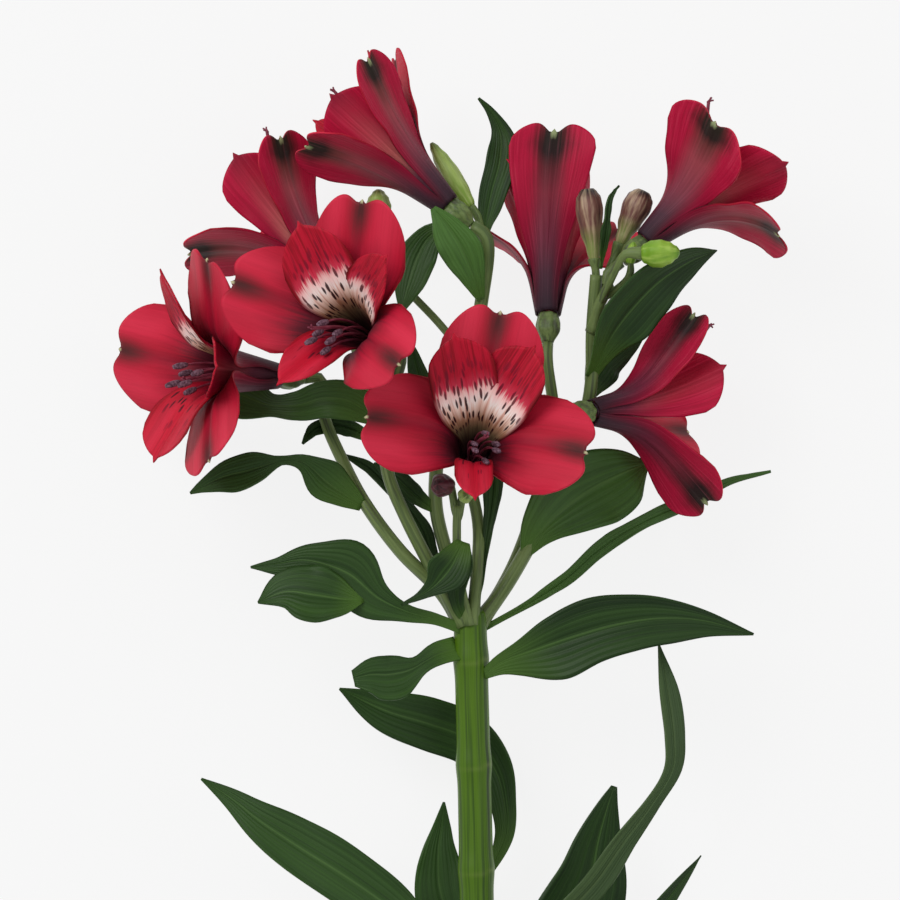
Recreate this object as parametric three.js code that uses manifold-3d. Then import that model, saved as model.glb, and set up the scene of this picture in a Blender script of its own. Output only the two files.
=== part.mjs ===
// A cut stem of red alstroemeria, laid on a table, in millimetres.
//
// Everything is modelled in the plant's own frame: the origin is the top of the main stem,
// where the flower stalks part, +Y runs up the stem to the flowers and +Z faces the viewer.
// One group then turns the whole plant by LIE_TILT, so that the cut end and the three rear
// blooms touch the table, which is z = 0.

import * as THREE from 'three';
import Module from 'manifold-3d';

const wasm = await Module();
wasm.setup();

// ---- Driving dimensions ----------------------------------------------------------------

const STEM_LENGTH = 270; // from the cut end to where the flower stalks part
const STEM_RADIUS = 4.3;
const STEM_CUT_RADIUS = 4.7;
const NODE_SWELL = 0.7; // how far a leaf node stands proud of the stem
const LEAF_NODES = [-11, -38, -65, -88, -108, -130, -150, -172, -196, -222];

const OVARY_LENGTH = 7;
const OVARY_RADIUS = 3.1;
const RECEPTACLE_HEIGHT = 2.8; // of the button that a bloom's tepals are rooted in

const PETAL_THICKNESS = 0.7;
const LEAF_THICKNESS = 0.8;
const CLEARANCE = 0.3; // kept between pieces that touch

const LIE_TILT = THREE.MathUtils.degToRad(5.7);
const TOUCH_DEPTH = 0.3; // how far a resting point is flattened by the table

// ---- Colours ---------------------------------------------------------------------------

const finish = (color, roughness) =>
  new THREE.MeshStandardMaterial({ color, roughness, metalness: 0 });

const STALK_GREEN = finish('#8fae3c', 0.55);
const PETAL_RED = finish('#c21630', 0.6);
const STAMEN_MAROON = finish('#6d3a44', 0.6);
const BUD_GREEN = finish('#93b048', 0.55);
const BUD_PINK = finish('#8f6a62', 0.6);
const BUD_MAROON = finish('#4a1620', 0.6);
const LEAF_GREEN = finish('#2f5a2b', 0.5);

// ---- Solids ----------------------------------------------------------------------------

const vector = (point) => new THREE.Vector3(...point);
const smoothstep = THREE.MathUtils.smoothstep;
const lerp = THREE.MathUtils.lerp;
const degToRad = THREE.MathUtils.degToRad;

function solidOf(points, triangles) {
  const vertProperties = new Float32Array(points.flatMap((point) => point.toArray()));
  const triVerts = new Uint32Array(triangles.flat());
  return new wasm.Manifold(new wasm.Mesh({ numProp: 3, vertProperties, triVerts }));
}

function geometryOf(solid) {
  const { vertProperties, triVerts } = solid.getMesh();
  const geometry = new THREE.BufferGeometry();
  geometry.setAttribute('position', new THREE.BufferAttribute(vertProperties, 3));
  geometry.setIndex(new THREE.BufferAttribute(triVerts, 1));
  return geometry;
}

const fuse = (solids) => solids.reduce((whole, solid) => whole.add(solid));

function largestBody(solid) {
  return solid.decompose().reduce((best, body) => (body.volume() > best.volume() ? body : best));
}

/** A thin closed sheet over surface(u, v), u from 0 to 1 and v from -1 to 1. */
function blade(surface, lengthSteps, widthSteps, thickness) {
  const points = [];
  const triangles = [];
  const row = widthSteps + 1;
  const sheet = (lengthSteps + 1) * row;
  const step = 0.01;
  for (const side of [0.5, -0.5]) {
    for (let i = 0; i <= lengthSteps; i++) {
      for (let j = 0; j <= widthSteps; j++) {
        const u = i / lengthSteps;
        const v = (2 * j) / widthSteps - 1;
        const along = surface(u + step, v).sub(surface(u - step, v));
        const across = surface(u, v + step).sub(surface(u, v - step));
        const normal = along.cross(across).normalize();
        points.push(surface(u, v).addScaledVector(normal, side * thickness));
      }
    }
  }
  for (let i = 0; i < lengthSteps; i++) {
    for (let j = 0; j < widthSteps; j++) {
      const a = i * row + j;
      const [b, c, d] = [a + row, a + row + 1, a + 1];
      triangles.push([a, b, c], [a, c, d]);
      triangles.push([a + sheet, c + sheet, b + sheet], [a + sheet, d + sheet, c + sheet]);
    }
  }
  const wall = (from, to) => {
    triangles.push([to, from, from + sheet], [to, from + sheet, to + sheet]);
  };
  for (let i = 0; i < lengthSteps; i++) {
    wall(i * row, (i + 1) * row);
    wall((i + 1) * row + widthSteps, i * row + widthSteps);
  }
  for (let j = 0; j < widthSteps; j++) {
    wall(j + 1, j);
    wall(lengthSteps * row + j, lengthSteps * row + j + 1);
  }
  return solidOf(points, triangles);
}

/** A closed body of round sections, with radii[i] at path[i]. */
function roundBody(path, radii, sides) {
  const points = [];
  const triangles = [];
  const normal = new THREE.Vector3(0.3, 0.2, 1);
  path.forEach((centre, i) => {
    const before = path[Math.max(i - 1, 0)];
    const after = path[Math.min(i + 1, path.length - 1)];
    const tangent = after.clone().sub(before).normalize();
    normal.addScaledVector(tangent, -normal.dot(tangent)).normalize();
    const binormal = tangent.clone().cross(normal);
    for (let j = 0; j < sides; j++) {
      const angle = (2 * Math.PI * j) / sides;
      const point = centre.clone();
      point.addScaledVector(normal, radii[i] * Math.cos(angle));
      point.addScaledVector(binormal, radii[i] * Math.sin(angle));
      points.push(point);
    }
  });
  const startCentre = points.push(path[0].clone()) - 1;
  const endCentre = points.push(path[path.length - 1].clone()) - 1;
  const lastRing = (path.length - 1) * sides;
  for (let j = 0; j < sides; j++) {
    const next = (j + 1) % sides;
    for (let ring = 0; ring < lastRing; ring += sides) {
      triangles.push([ring + j, ring + next, ring + sides + next]);
      triangles.push([ring + j, ring + sides + next, ring + sides + j]);
    }
    triangles.push([startCentre, next, j], [endCentre, lastRing + j, lastRing + next]);
  }
  return solidOf(points, triangles);
}

const curveThrough = (points) =>
  new THREE.CatmullRomCurve3(points.map(vector), false, 'catmullrom', 0.5);

// ---- Blooms ----------------------------------------------------------------------------
//
// A bloom has an ovary whose top is at `at`, an axis that its tube follows, and an up
// direction from which the places of its tepals round the axis are counted, in degrees,
// clockwise as one looks into the flower. `open` is how far the blades lean out from the
// axis, and `tepals` gives the place of each tepal, with what differs from its kind.

const OUTER = {
  length: 49, halfWidth: 14.2, claw: 2.3, rootRadius: 3, shoulder: 18, notch: 3.5,
  pointed: 0, tube: 9, open: 70, opensFrom: 0.28, opensTo: 0.62, spreadsFrom: 0.22,
  spreadsTo: 0.7, cup: -0.25, ruffle: 0.07, sway: 0, roll: 0, curl: 0, curlsFrom: 0.7,
  phase: 0, lengthSteps: 6, widthSteps: 4,
};
const INNER = {
  ...OUTER, length: 44, halfWidth: 8, claw: 1.9, rootRadius: 2.1, shoulder: 13, notch: 0,
  opensFrom: 0.36, opensTo: 0.74, spreadsFrom: 0.3, pointed: 0.3, open: 58, cup: 0.3,
  ruffle: 0.04, lengthSteps: 5, widthSteps: 2,
};
const LOWER_INNER = {
  ...INNER, length: 42, halfWidth: 6.5, claw: 2.2, spreadsFrom: 0.15, open: 40, cup: 0.4,
};
const FUNNEL = {
  tube: 11, opensFrom: 0.12, opensTo: 0.85, spreadsFrom: 0.05, spreadsTo: 0.92, shoulder: 13,
  lengthSteps: 5,
};

const outer = (place, changes) => ({ ...OUTER, place, ...changes });
const inner = (place, changes) => ({ ...INNER, place, ...changes });
const lowerInner = (place, changes) => ({ ...LOWER_INNER, place, ...changes });
const funnelOuter = (place, changes) => outer(place, { ...FUNNEL, ...changes });
const funnelInner = (place, changes) => inner(place, { ...FUNNEL, opensFrom: 0.2,
  halfWidth: 6.5, ...changes });

const BLOOMS = [
  {
    name: 'bloom_1', at: [-5, 110, -6], axis: [-0.73, 0.68, -0.1], up: [0, 0, 1],
    tepals: [
      funnelOuter(54, { length: 42.5, open: 35, halfWidth: 11.5, sway: -4 }),
      funnelOuter(-46, { length: 46, open: 34, halfWidth: 8, sway: 3 }),
      funnelOuter(-122, { length: 45.5, open: 41, halfWidth: 9, sway: 8 }),
      funnelInner(0, { length: 41, open: 14, halfWidth: 9, shoulder: 7 }),
      funnelInner(-85, { open: 22 }), funnelInner(150, { open: 20 }),
    ],
    lean: [0, 0, 0],
  },
  {
    name: 'bloom_2', at: [-35.5, 89.5, -9], axis: [-0.6, 0.68, -0.42], up: [0, 0, 1],
    tepals: [
      funnelOuter(-50, { length: 43, open: 42, halfWidth: 10.5, sway: 2 }),
      funnelOuter(70, { length: 42, open: 60, halfWidth: 13.5, curl: 10 }),
      funnelOuter(180, { length: 42, open: 40, halfWidth: 12 }),
      funnelInner(-12, { open: 26, length: 41.5, halfWidth: 9, shoulder: 8 }),
      funnelInner(-115, { open: 46 }), funnelInner(120, { open: 35 }),
    ],
    lean: [0, 0, 0],
  },
  {
    name: 'bloom_3', at: [-23, 73.5, 14], axis: [-0.38, 0.25, 0.89], up: [0, 1, 0],
    tepals: [
      outer(10), outer(-74, { open: 67 }),
      outer(124, { open: 40, curl: 45, curlsFrom: 0.45, halfWidth: 12.8 }),
      inner(-23, { length: 45, halfWidth: 9.4, shoulder: 11 }),
      inner(43, { open: 46, halfWidth: 7.4, sway: 10 }), lowerInner(-150, { open: 56 }),
    ],
    lean: [-3, -7, 0],
  },
  {
    name: 'bloom_4', at: [-49.4, 66, -6], axis: [-0.79, 0.08, 0.6], up: [0, 1, 0],
    tepals: [
      outer(-84, { length: 50, open: 77, halfWidth: 14.8, sway: 3 }),
      outer(26, { open: 66, halfWidth: 14, sway: -4 }),
      outer(156, { open: 69, halfWidth: 13.4, sway: -10 }),
      inner(-12, { length: 45, open: 60, roll: 24, halfWidth: 8 }), inner(92, { open: 56 }),
      lowerInner(187, { open: 62, length: 45, halfWidth: 9.5, shoulder: 8 }),
    ],
    lean: [0, -4, 0],
  },
  {
    name: 'bloom_5', at: [0.5, 42, 12], axis: [0.03, 0.34, 0.94], up: [0, 1, 0],
    tepals: [
      outer(12, { length: 51 }), outer(-70, { length: 47, open: 66, sway: -16 }),
      outer(92, { open: 64, sway: 15 }),
      inner(-14, { open: 54, length: 44.5, halfWidth: 8.8, shoulder: 8 }),
      inner(37, { open: 60, length: 45, halfWidth: 8.6, shoulder: 8 }),
      lowerInner(188, { open: 50, length: 42, halfWidth: 5, sway: -6, shoulder: 8 }),
    ],
    lean: [3, -6, 0],
  },
  {
    name: 'bloom_6', at: [20.5, 81.5, -12.5], axis: [0.02, 0.94, -0.35], up: [0, 0, 1],
    tepals: [
      funnelOuter(14, { length: 50, open: 21, halfWidth: 11.6, sway: -17, shoulder: 7 }),
      funnelOuter(112, { length: 38, open: 60, halfWidth: 12 }),
      funnelOuter(-110, { length: 36, open: 46, opensTo: 0.6, halfWidth: 12, roll: -45 }),
      funnelInner(58, { open: 28 }), funnelInner(-62, { length: 42, open: 12 }),
      funnelInner(178, { open: 30 }),
    ],
    lean: [0, 0, 0],
  },
  {
    name: 'bloom_7', at: [45, 100.5, -3], axis: [0.74, 0.65, -0.15], up: [0, 0, 1],
    tepals: [
      funnelOuter(37, { length: 40, open: 52, halfWidth: 16, sway: -6, shoulder: 11 }),
      funnelOuter(-68, { length: 40, open: 74, halfWidth: 13, sway: 10, curl: 20, shoulder: 9 }),
      funnelOuter(170, { length: 42, open: 42 }),
      funnelInner(-27, { length: 42, open: 38, halfWidth: 9.5, shoulder: 9 }),
      funnelInner(110, { length: 39, open: 30 }),
      funnelInner(-130, { length: 36, open: 28 }),
    ],
    lean: [0, 0, 0],
  },
  {
    name: 'bloom_8', at: [30.5, 56.5, 4.9], axis: [0.74, 0.03, -0.67], up: [0, 0, 1],
    tepals: [
      funnelOuter(63, { length: 42, open: 58, opensTo: 0.6, halfWidth: 9.5, sway: 3 }),
      funnelOuter(-60, { length: 43, open: 60, opensTo: 0.6, halfWidth: 11, sway: -3 }),
      funnelOuter(-152, { length: 50, open: 12, halfWidth: 13 }),
      funnelInner(33, { length: 38, open: 45, halfWidth: 9.8, shoulder: 9 }),
      funnelInner(120, { open: 25 }), funnelInner(-105, { open: 40 }),
    ],
    lean: [0, 0, 0],
  },
];

function frameOf(bloom) {
  const axis = vector(bloom.axis).normalize();
  const up = vector(bloom.up);
  up.addScaledVector(axis, -up.dot(axis)).normalize();
  const right = up.clone().cross(axis);
  const outward = (angle) =>
    up.clone().multiplyScalar(Math.cos(angle)).addScaledVector(right, Math.sin(angle));
  const onAxis = (height) => vector(bloom.at).addScaledVector(axis, height);
  return { axis, outward, onAxis };
}

/** The midline of a tepal in its own plane: height and radius from the ovary, and lean. */
function midlineOf(tepal) {
  const steps = 40;
  const line = [];
  let height = 1;
  let radius = tepal.rootRadius;
  for (let i = 0; i <= steps + 4; i++) {
    const s = i / steps;
    const opening = smoothstep(s, tepal.opensFrom, tepal.opensTo);
    const curl = tepal.curl * smoothstep(s, tepal.curlsFrom, 1.05);
    const lean = degToRad(lerp(tepal.tube, tepal.open, opening) + curl);
    line.push({ height, radius, lean });
    height += (Math.cos(lean) * tepal.length) / steps;
    radius += (Math.sin(lean) * tepal.length) / steps;
  }
  return (s) => {
    const place = THREE.MathUtils.clamp(s * steps, 0, steps + 3.999);
    const i = Math.floor(place);
    const [a, b, k] = [line[i], line[i + 1], place - i];
    return {
      height: lerp(a.height, b.height, k),
      radius: lerp(a.radius, b.radius, k),
      lean: lerp(a.lean, b.lean, k),
    };
  };
}

/** The surface of a tepal: a narrow claw in the tube, a broad blade that leans outwards. */
function tepalSurface(bloom, tepal) {
  const { axis, outward, onAxis } = frameOf(bloom);
  const midline = midlineOf(tepal);
  return (u, v) => {
    const w = Math.min(Math.abs(v), 1);
    const round = 1 - Math.sqrt(1 - w * w);
    const end = lerp(round, w ** 1.2, tepal.pointed) * tepal.shoulder;
    const notch = tepal.notch * Math.exp(-((v / 0.25) ** 2));
    const s = u * (1 - (end + notch) / tepal.length);
    const { height, radius, lean } = midline(s);
    const spread = smoothstep(s, tepal.spreadsFrom, tepal.spreadsTo);
    const halfWidth = lerp(tepal.claw, tepal.halfWidth, spread);
    const leaves = smoothstep(s, 0.2, 0.6);
    const bend = lerp(1 / radius, tepal.cup / tepal.halfWidth, leaves) + 1e-6;
    const x = v * halfWidth;
    const lateral = Math.sin(x * bend) / bend;
    let lift = (1 - Math.cos(x * bend)) / bend;
    lift += tepal.ruffle * halfWidth * v * v * leaves * Math.sin(tepal.phase + 7 * s + 2 * v);
    const roll = degToRad(tepal.roll) * leaves;
    const place = degToRad(tepal.place + tepal.sway * s);
    const out = outward(place);
    const side = outward(place + Math.PI / 2);
    const inwards = axis.clone().multiplyScalar(Math.sin(lean));
    inwards.addScaledVector(out, -Math.cos(lean));
    const point = onAxis(height).addScaledVector(out, radius);
    point.addScaledVector(side, lateral * Math.cos(roll) - lift * Math.sin(roll));
    return point.addScaledVector(inwards, lift * Math.cos(roll) + lateral * Math.sin(roll));
  };
}

function tepalsOf(bloom) {
  const { onAxis } = frameOf(bloom);
  const receptacle = roundBody([CLEARANCE, RECEPTACLE_HEIGHT].map(onAxis), [4, 4.3], 6);
  const tepals = bloom.tepals.map((tepal) =>
    blade(tepalSurface(bloom, tepal), tepal.lengthSteps, tepal.widthSteps, PETAL_THICKNESS));
  return largestBody(fuse([receptacle, ...tepals]));
}

/** Six stamens on a small disc that stands just clear of the receptacle. */
function stamensOf(bloom) {
  const { outward, onAxis } = frameOf(bloom);
  const lean = vector(bloom.lean);
  const discBase = RECEPTACLE_HEIGHT + CLEARANCE;
  const disc = roundBody([discBase, discBase + 1.5].map(onAxis), [1.45, 1.35], 6);
  const stamens = [0, 1, 2, 3, 4, 5].map((k) => {
    const reach = k % 2 ? 27 : 31;
    const out = outward((k * Math.PI) / 3);
    const path = [0, 0.5, 0.84, 0.93, 1].map((s) => {
      const point = onAxis(discBase + 0.7 + s * reach);
      return point.addScaledVector(out, 0.9 + 2.4 * s).addScaledVector(lean, s ** 3);
    });
    return roundBody(path, [0.45, 0.42, 0.4, 1.1, 0.45], 3);
  });
  return largestBody(fuse([disc, ...stamens]));
}

// ---- Stem, stalks and ovaries ------------------------------------------------------------

/** Stalks: the points that each follows, and its radius at the foot and at the head. */
const STALKS = [
  { to: 'bloom_4', radii: [1.9, 1.5], points: [
    [-1, 0, 0], [-8, 10.5, 2], [-18, 20.5, 4], [-27, 32.5, 3], [-33, 43.5, -3],
    [-38, 55, -9]] },
  { to: 'bloom_3', radii: [1.8, 1.6], points: [
    [-1, 0, 2], [-9, 14.5, 4], [-17, 30, 5], [-21.5, 41.5, 4], [-22.5, 55, 1]] },
  { to: 'bloom_2', radii: [1.4, 1.4], points: [
    [-22, 48, 2], [-26, 62, -5], [-31, 78, -12]] },
  { to: 'bloom_1', radii: [1.8, 1.8], points: [
    [0, 0, -2], [-5.5, 18, -4], [-9, 34, -6], [-7, 52, -9], [0, 70.5, -10], [3, 86, -9]] },
  { to: null, radii: [1.2, 1.1], points: [
    [0, 0, 3], [-3, 15.5, 6], [-3.5, 26, 7], [-3.2, 34, 8]] },
  { to: 'bloom_5', radii: [1.6, 1.5], points: [
    [0.5, 0, 2], [2, 18.5, 3], [2, 28, 0]] },
  { to: null, radii: [2, 1.6], points: [
    [1, 0, -1], [9, 11, -2], [15.5, 22, -4], [23.5, 36.5, -7], [29, 52, -6], [31.5, 64, -5],
    [31.8, 78, -4], [33, 94, -3]] },
  { to: 'bloom_6', radii: [1.6, 1.5], points: [
    [1, 0, -3], [8, 10.5, -6], [13.5, 22, -9], [19, 39, -12], [22, 54, -11]] },
  { to: 'bloom_8', radii: [1.5, 1.4], points: [
    [22.5, 34.5, -7], [19.5, 45, -3], [19.5, 52, 2]] },
  { to: 'bloom_7', radii: [1.5, 1.4], points: [
    [31.8, 76, -4], [33.5, 84, -2], [36, 89.5, -1]] },
];

const BUDS = [
  { name: 'bud_1', finish: BUD_GREEN, from: [-24, 106, -14], to: [-24, 115.5, -15], radius: 3.4,
    stalk: [[0, 70, -10], [-8, 80, -14], [-19, 92, -15]] },
  { name: 'bud_2', finish: BUD_GREEN, from: [0.5, 110, -13], to: [-10.5, 128, -16], radius: 2.6,
    stalk: [[2.8, 88, -9.5], [3.5, 98, -11]] },
  { name: 'bud_3', finish: BUD_PINK, from: [32.5, 95.5, -3], to: [30.5, 115.5, -3], radius: 3.5,
    stalk: [[32.5, 86, -4]] },
  { name: 'bud_4', finish: BUD_PINK, from: [39, 100, -7], to: [45.5, 115, -8], radius: 3.8,
    stalk: [[32, 84, -4]] },
  { name: 'bud_5', finish: BUD_GREEN, from: [44, 97.5, 9], to: [54.5, 98, 10], radius: 3.6,
    stalk: [[33.5, 84, -2], [37, 92, 5]] },
  { name: 'bud_6', finish: BUD_GREEN, from: [41.5, 95, 3], to: [42.5, 101, 3.5], radius: 1.6,
    stalk: [[34, 85.5, -1.5]] },
  { name: 'bud_7', finish: BUD_MAROON, from: [-6, 37.5, 11], to: [-8.5, 38, 20], radius: 3,
    stalk: [[-3.4, 28, 7]] },
  { name: 'bud_8', finish: BUD_GREEN, from: [-1.5, 35, 12], to: [-0.8, 35.2, 18], radius: 2,
    stalk: [[-3.3, 27, 7]] },
];

/** The end of a bloom's stalk, where its ovary begins, with a point before it. */
function stalkPointsTo(bloomName) {
  const bloom = BLOOMS.find(({ name }) => name === bloomName);
  const { onAxis } = frameOf(bloom);
  return [onAxis(-OVARY_LENGTH - 6), onAxis(-OVARY_LENGTH + 1)].map((point) => point.toArray());
}

function stalkBody(points, radii, swell = 0) {
  const curve = curveThrough(points);
  const steps = Math.max(2, Math.round(curve.getLength() / 12));
  const path = curve.getSpacedPoints(steps);
  return roundBody(path, path.map((_, i) => lerp(...radii, i / steps) + swell), 6);
}

/** The curve of the main stem, from its cut end to where the stalks part. */
const STEM_CURVE = [
  [2, -STEM_LENGTH, 0], [0.5, -200, 0], [2, -110, 0], [1.5, -60, 0], [0, 0, 0], [0, 4, 0]];

function mainStem(swell = 0) {
  const curve = curveThrough(STEM_CURVE);
  const heights = new Set([-STEM_LENGTH, 1]);
  for (const height of LEAF_NODES) {
    heights.add(height - 3).add(height).add(height + 3);
  }
  const rows = [...heights].sort((a, b) => a - b);
  const samples = curve.getSpacedPoints(200);
  const path = rows.map((height) => {
    const above = samples.findIndex((point) => point.y >= height - 1e-3);
    return new THREE.Vector3(samples[above].x, height, 0);
  });
  const radii = rows.map((height) => {
    const base = lerp(STEM_CUT_RADIUS, STEM_RADIUS, (height + STEM_LENGTH) / STEM_LENGTH);
    return base + swell + (LEAF_NODES.includes(height) ? NODE_SWELL : 0);
  });
  path.push(new THREE.Vector3(0, 4, 0));
  radii.push(2.6 + swell);
  return roundBody(path, radii, 8);
}

function ovaryOf(bloom, swell = 0) {
  const { onAxis } = frameOf(bloom);
  const heights = [-OVARY_LENGTH, -OVARY_LENGTH / 2, 0];
  return roundBody(heights.map(onAxis), [1.6, OVARY_RADIUS, 2.6].map((r) => r + swell), 6);
}

/** The whole green axis in one body; swell makes the clearance body that leaves are cut by. */
function stemBody(swell = 0) {
  const stalks = STALKS.map(({ to, points, radii }) =>
    stalkBody(to ? [...points, ...stalkPointsTo(to)] : points, radii, swell));
  const budStalks = BUDS.map(({ stalk, from, to }) => {
    const back = vector(from).sub(vector(to)).normalize();
    const neck = [4, CLEARANCE].map((gap) => vector(from).addScaledVector(back, gap));
    const path = [...stalk.map(vector), ...neck];
    return roundBody(path, path.map(() => 1.2 + swell), 6);
  });
  const ovaries = BLOOMS.map((bloom) => ovaryOf(bloom, swell));
  return fuse([mainStem(swell), ...stalks, ...budStalks, ...ovaries]);
}

/** An unopened flower: the green ones are widest low down, the pink ones near their tip. */
function budBody({ from, to, radius, finish: colour }) {
  const profile = colour === BUD_PINK
    ? [[0, 0.36], [0.18, 0.52], [0.42, 0.8], [0.7, 1], [0.9, 0.76], [1, 0.2]]
    : [[0, 0.5], [0.18, 0.86], [0.42, 1], [0.72, 0.78], [0.92, 0.38], [1, 0.12]];
  const path = profile.map(([t]) => vector(from).lerp(vector(to), t));
  return roundBody(path, profile.map(([, width]) => width * radius), 6);
}

// ---- Leaves ----------------------------------------------------------------------------
//
// A leaf follows the points of its midrib from its root to its tip. `turn` gives how far its
// blade is turned about the midrib, in degrees, from root to tip: 0 faces the viewer and 90
// shows its edge. `fold` is how far the two halves fold up about the midrib, in degrees.
// `left` and `right` are the widths of the two halves at even stations, and a blade with no
// `right` is even-sided. A leaf that has only a `halfWidth` is lance-shaped. A `lobe` is the
// part of a blade that curls over the rest of it.

const LEAVES = [
  { name: 'leaf_1', turn: [0, 10, 20], fold: 12, left: [1, 3.6, 5.2, 4.4, 0.5],
    right: [1, 3.1, 5.2, 3.9, 0.5], points: [
    [-3.1, 105, -7], [-9.9, 103, -9], [-13.5, 97.5, -9], [-16.1, 89.7, -8],
    [-17.9, 82.7, -7]] },
  { name: 'leaf_2', turn: [10, 0, 0], fold: 10, left: [1, 3.6, 5.7, 5.2, 0.8],
    right: [1, 3.1, 5.2, 3.6, 0.8], points: [
    [2.9, 86.1, -7], [0.5, 93.1, -3], [-2.6, 100.1, 0], [-6.2, 105.6, 1], [-9.6, 109.7, 1]] },
  { name: 'leaf_3', turn: [30, 0, 0], fold: 12, left: [0.8, 1, 2.9, 3.6, 3.4, 1.6, 0.3],
    right: [0.8, 1.3, 3.4, 4.4, 4.9, 2.1, 0.3], points: [
    [3.1, 95.9, -9], [3.9, 105.3, -12], [5.7, 114.4, -15], [7.8, 122.2, -17],
    [8.1, 129.5, -19], [5.7, 135.2, -19], [2.3, 139.4, -19]] },
  { name: 'leaf_4', halfWidth: 8, turn: [40, 30, 30], fold: 12, points: [
    [31.5, 66, -4], [38, 78, 1], [47.5, 89, 1], [56.5, 95.5, -3], [64.5, 99, -8]] },
  { name: 'leaf_5', halfWidth: 5, turn: [30, 20, 20], fold: 12, points: [
    [30.5, 59.5, -7], [35.5, 69.5, -13], [45.5, 76, -18]] },
  { name: 'leaf_6', turn: [10, 0, 0], fold: 6, left: [1.8, 5.2, 5.2, 3.9, 3.1, 6, 1],
    right: [1.8, 4.7, 4.4, 3.4, 3.2, 6.8, 1], points: [
    [-23.9, 54.6, 2], [-30.7, 59.3, 4], [-37.7, 60.3, 4], [-44.7, 58.5, 1], [-52.8, 58.6, -7],
    [-60.3, 61.2, -11], [-67.1, 61.8, -11]] },
  { name: 'leaf_7', turn: [0, 10, 10], fold: 10,
    left: [1.6, 3.6, 5.2, 2.6, 1.3, 3.9, 5.2, 2.9, 0.3],
    right: [1.6, 4.2, 5.7, 2.3, 1.3, 4.4, 4.2, 2.3, 0.3], points: [
    [-28, 32.4, 4], [-36.4, 38, 8], [-42.6, 43.4, 9], [-47.6, 44.2, 9], [-51.2, 43.4, 9],
    [-57.2, 41.6, 9], [-63.7, 40, 8], [-69.4, 37.4, 6], [-72.5, 35.6, 5]] },
  { name: 'leaf_8', turn: [10, 0, 0], fold: 8, left: [1, 7, 11.4, 9.9, 6.5, 0.5],
    right: [1, 4.7, 8.8, 10.9, 8.8, 0.8], points: [
    [14, 19, -3], [18.5, 25.7, -2], [25, 31.7, -4], [32.5, 36.9, -9], [40.3, 40.8, -15],
    [46.8, 43.4, -22]] },
  { name: 'leaf_9', turn: [20, 10, 10], fold: 8,
    left: [0.8, 0.8, 1.6, 1.8, 2.3, 1.8, 2.3, 1.6, 1, 0.3],
    right: [0.8, 0.8, 1.3, 1.8, 2.1, 1.8, 1.8, 1.6, 0.8, 0.3], points: [
    [3.1, 0, -2], [8.3, 2.9, -2], [16.4, 7.5, -1], [24.7, 13, 0], [33.3, 20.5, -3],
    [41.1, 25.7, -8], [48.1, 29.1, -13], [58, 33.3, -17], [68.4, 38.5, -19],
    [79.3, 41.1, -21]] },
  { name: 'leaf_10', turn: [0, 0, 0], fold: 6, left: [1.3, 1.6, 3.4, 7, 6.8, 3.6, 3.6, 0.3],
    right: [1.3, 1.6, 2.1, 4.7, 8.8, 5.2, 1.8, 0.3], points: [
    [-2.1, 0.3, 3], [-8.8, 2.9, 5], [-16.1, 4.9, 6], [-23.9, 8.6, 6.5], [-31.7, 14.8, 6.5],
    [-42.1, 18.2, 6], [-50.4, 17.4, 5], [-56.9, 16.4, 4]],
    lobe: { turn: [24, 24, 20], fold: 8, left: [0.5, 5.7, 8.1, 4.7, 0.3],
      right: [0.5, 6.2, 8.1, 5.7, 0.3], points: [
      [-27.6, 7.8, 6.9], [-33.3, 8.3, 8.8], [-40.6, 9.4, 9.6], [-47.8, 10.1, 8.8],
      [-54.9, 7.3, 7.6]] } },
  { name: 'leaf_11', turn: [0, 0, 0], fold: 8, left: [1, 1.6, 2.6, 3.4, 1.8], points: [
    [-1, 2.1, 3], [-3.1, 6.2, 6], [-3.6, 11.4, 8], [-2.6, 17.2, 9.8], [-1.8, 22.6, 11.5]],
    lobe: { turn: [0, 0, 0], fold: 14, left: [1.8, 4.2, 5.2, 2.3, 1, 0.3],
      right: [1.8, 4.4, 5.7, 2.6, 1, 0.3], points: [
      [-1.8, 23.1, 11.8], [-3.1, 20, 13], [-5.2, 16.1, 13.4], [-8.8, 12, 12.4],
      [-13, 9.1, 11], [-17.9, 6.8, 10]] } },
  { name: 'leaf_12', turn: [20, 10, 0], fold: 10, left: [3.1, 2.9, 2.9, 6.8, 6.2, 2.1],
    right: [3.6, 3.4, 2.6, 4.7, 4.7, 2.1], points: [
    [-3.1, -4.9, 2], [-8.8, -6.5, 5], [-15.1, -9.9, 7], [-20.8, -11.2, 9],
    [-25.5, -11.2, 10.4], [-30.2, -12.2, 11]] },
  { name: 'leaf_13', turn: [10, 0, 10], fold: 8, left: [1, 3.1, 6.8, 8.6, 7, 4.4, 2.1, 0.3],
    right: [1, 5.5, 9.8, 8.4, 7.6, 6.5, 3.6, 0.3], points: [
    [3.1, -12, 2], [8.3, -8.1, 4], [17.2, -4.7, 8], [27, -1.3, 10], [38.2, 1.8, 11],
    [49.4, 3.4, 10.5], [60.8, 2.6, 6.5], [73.6, -1, 2]] },
  { name: 'leaf_14', turn: [0, 0, 10], fold: 8, left: [0.8, 2.3, 3.9, 5.7, 7, 7, 5.2, 0.3],
    right: [0.8, 2.1, 3.1, 5.2, 6.8, 6.8, 4.7, 0.3], points: [
    [3.9, -65, -2], [9.1, -54.1, -9], [8.8, -44.2, -12], [6, -35.9, -13], [-0.5, -28.9, -13],
    [-10.4, -25, -12], [-22.1, -21.3, -10], [-34.1, -15.6, -8]] },
  { name: 'leaf_15', turn: [20, 10, 10], fold: 10,
    left: [1, 3.6, 6.8, 7.5, 7.3, 6.2, 3.4, 0.3],
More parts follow.
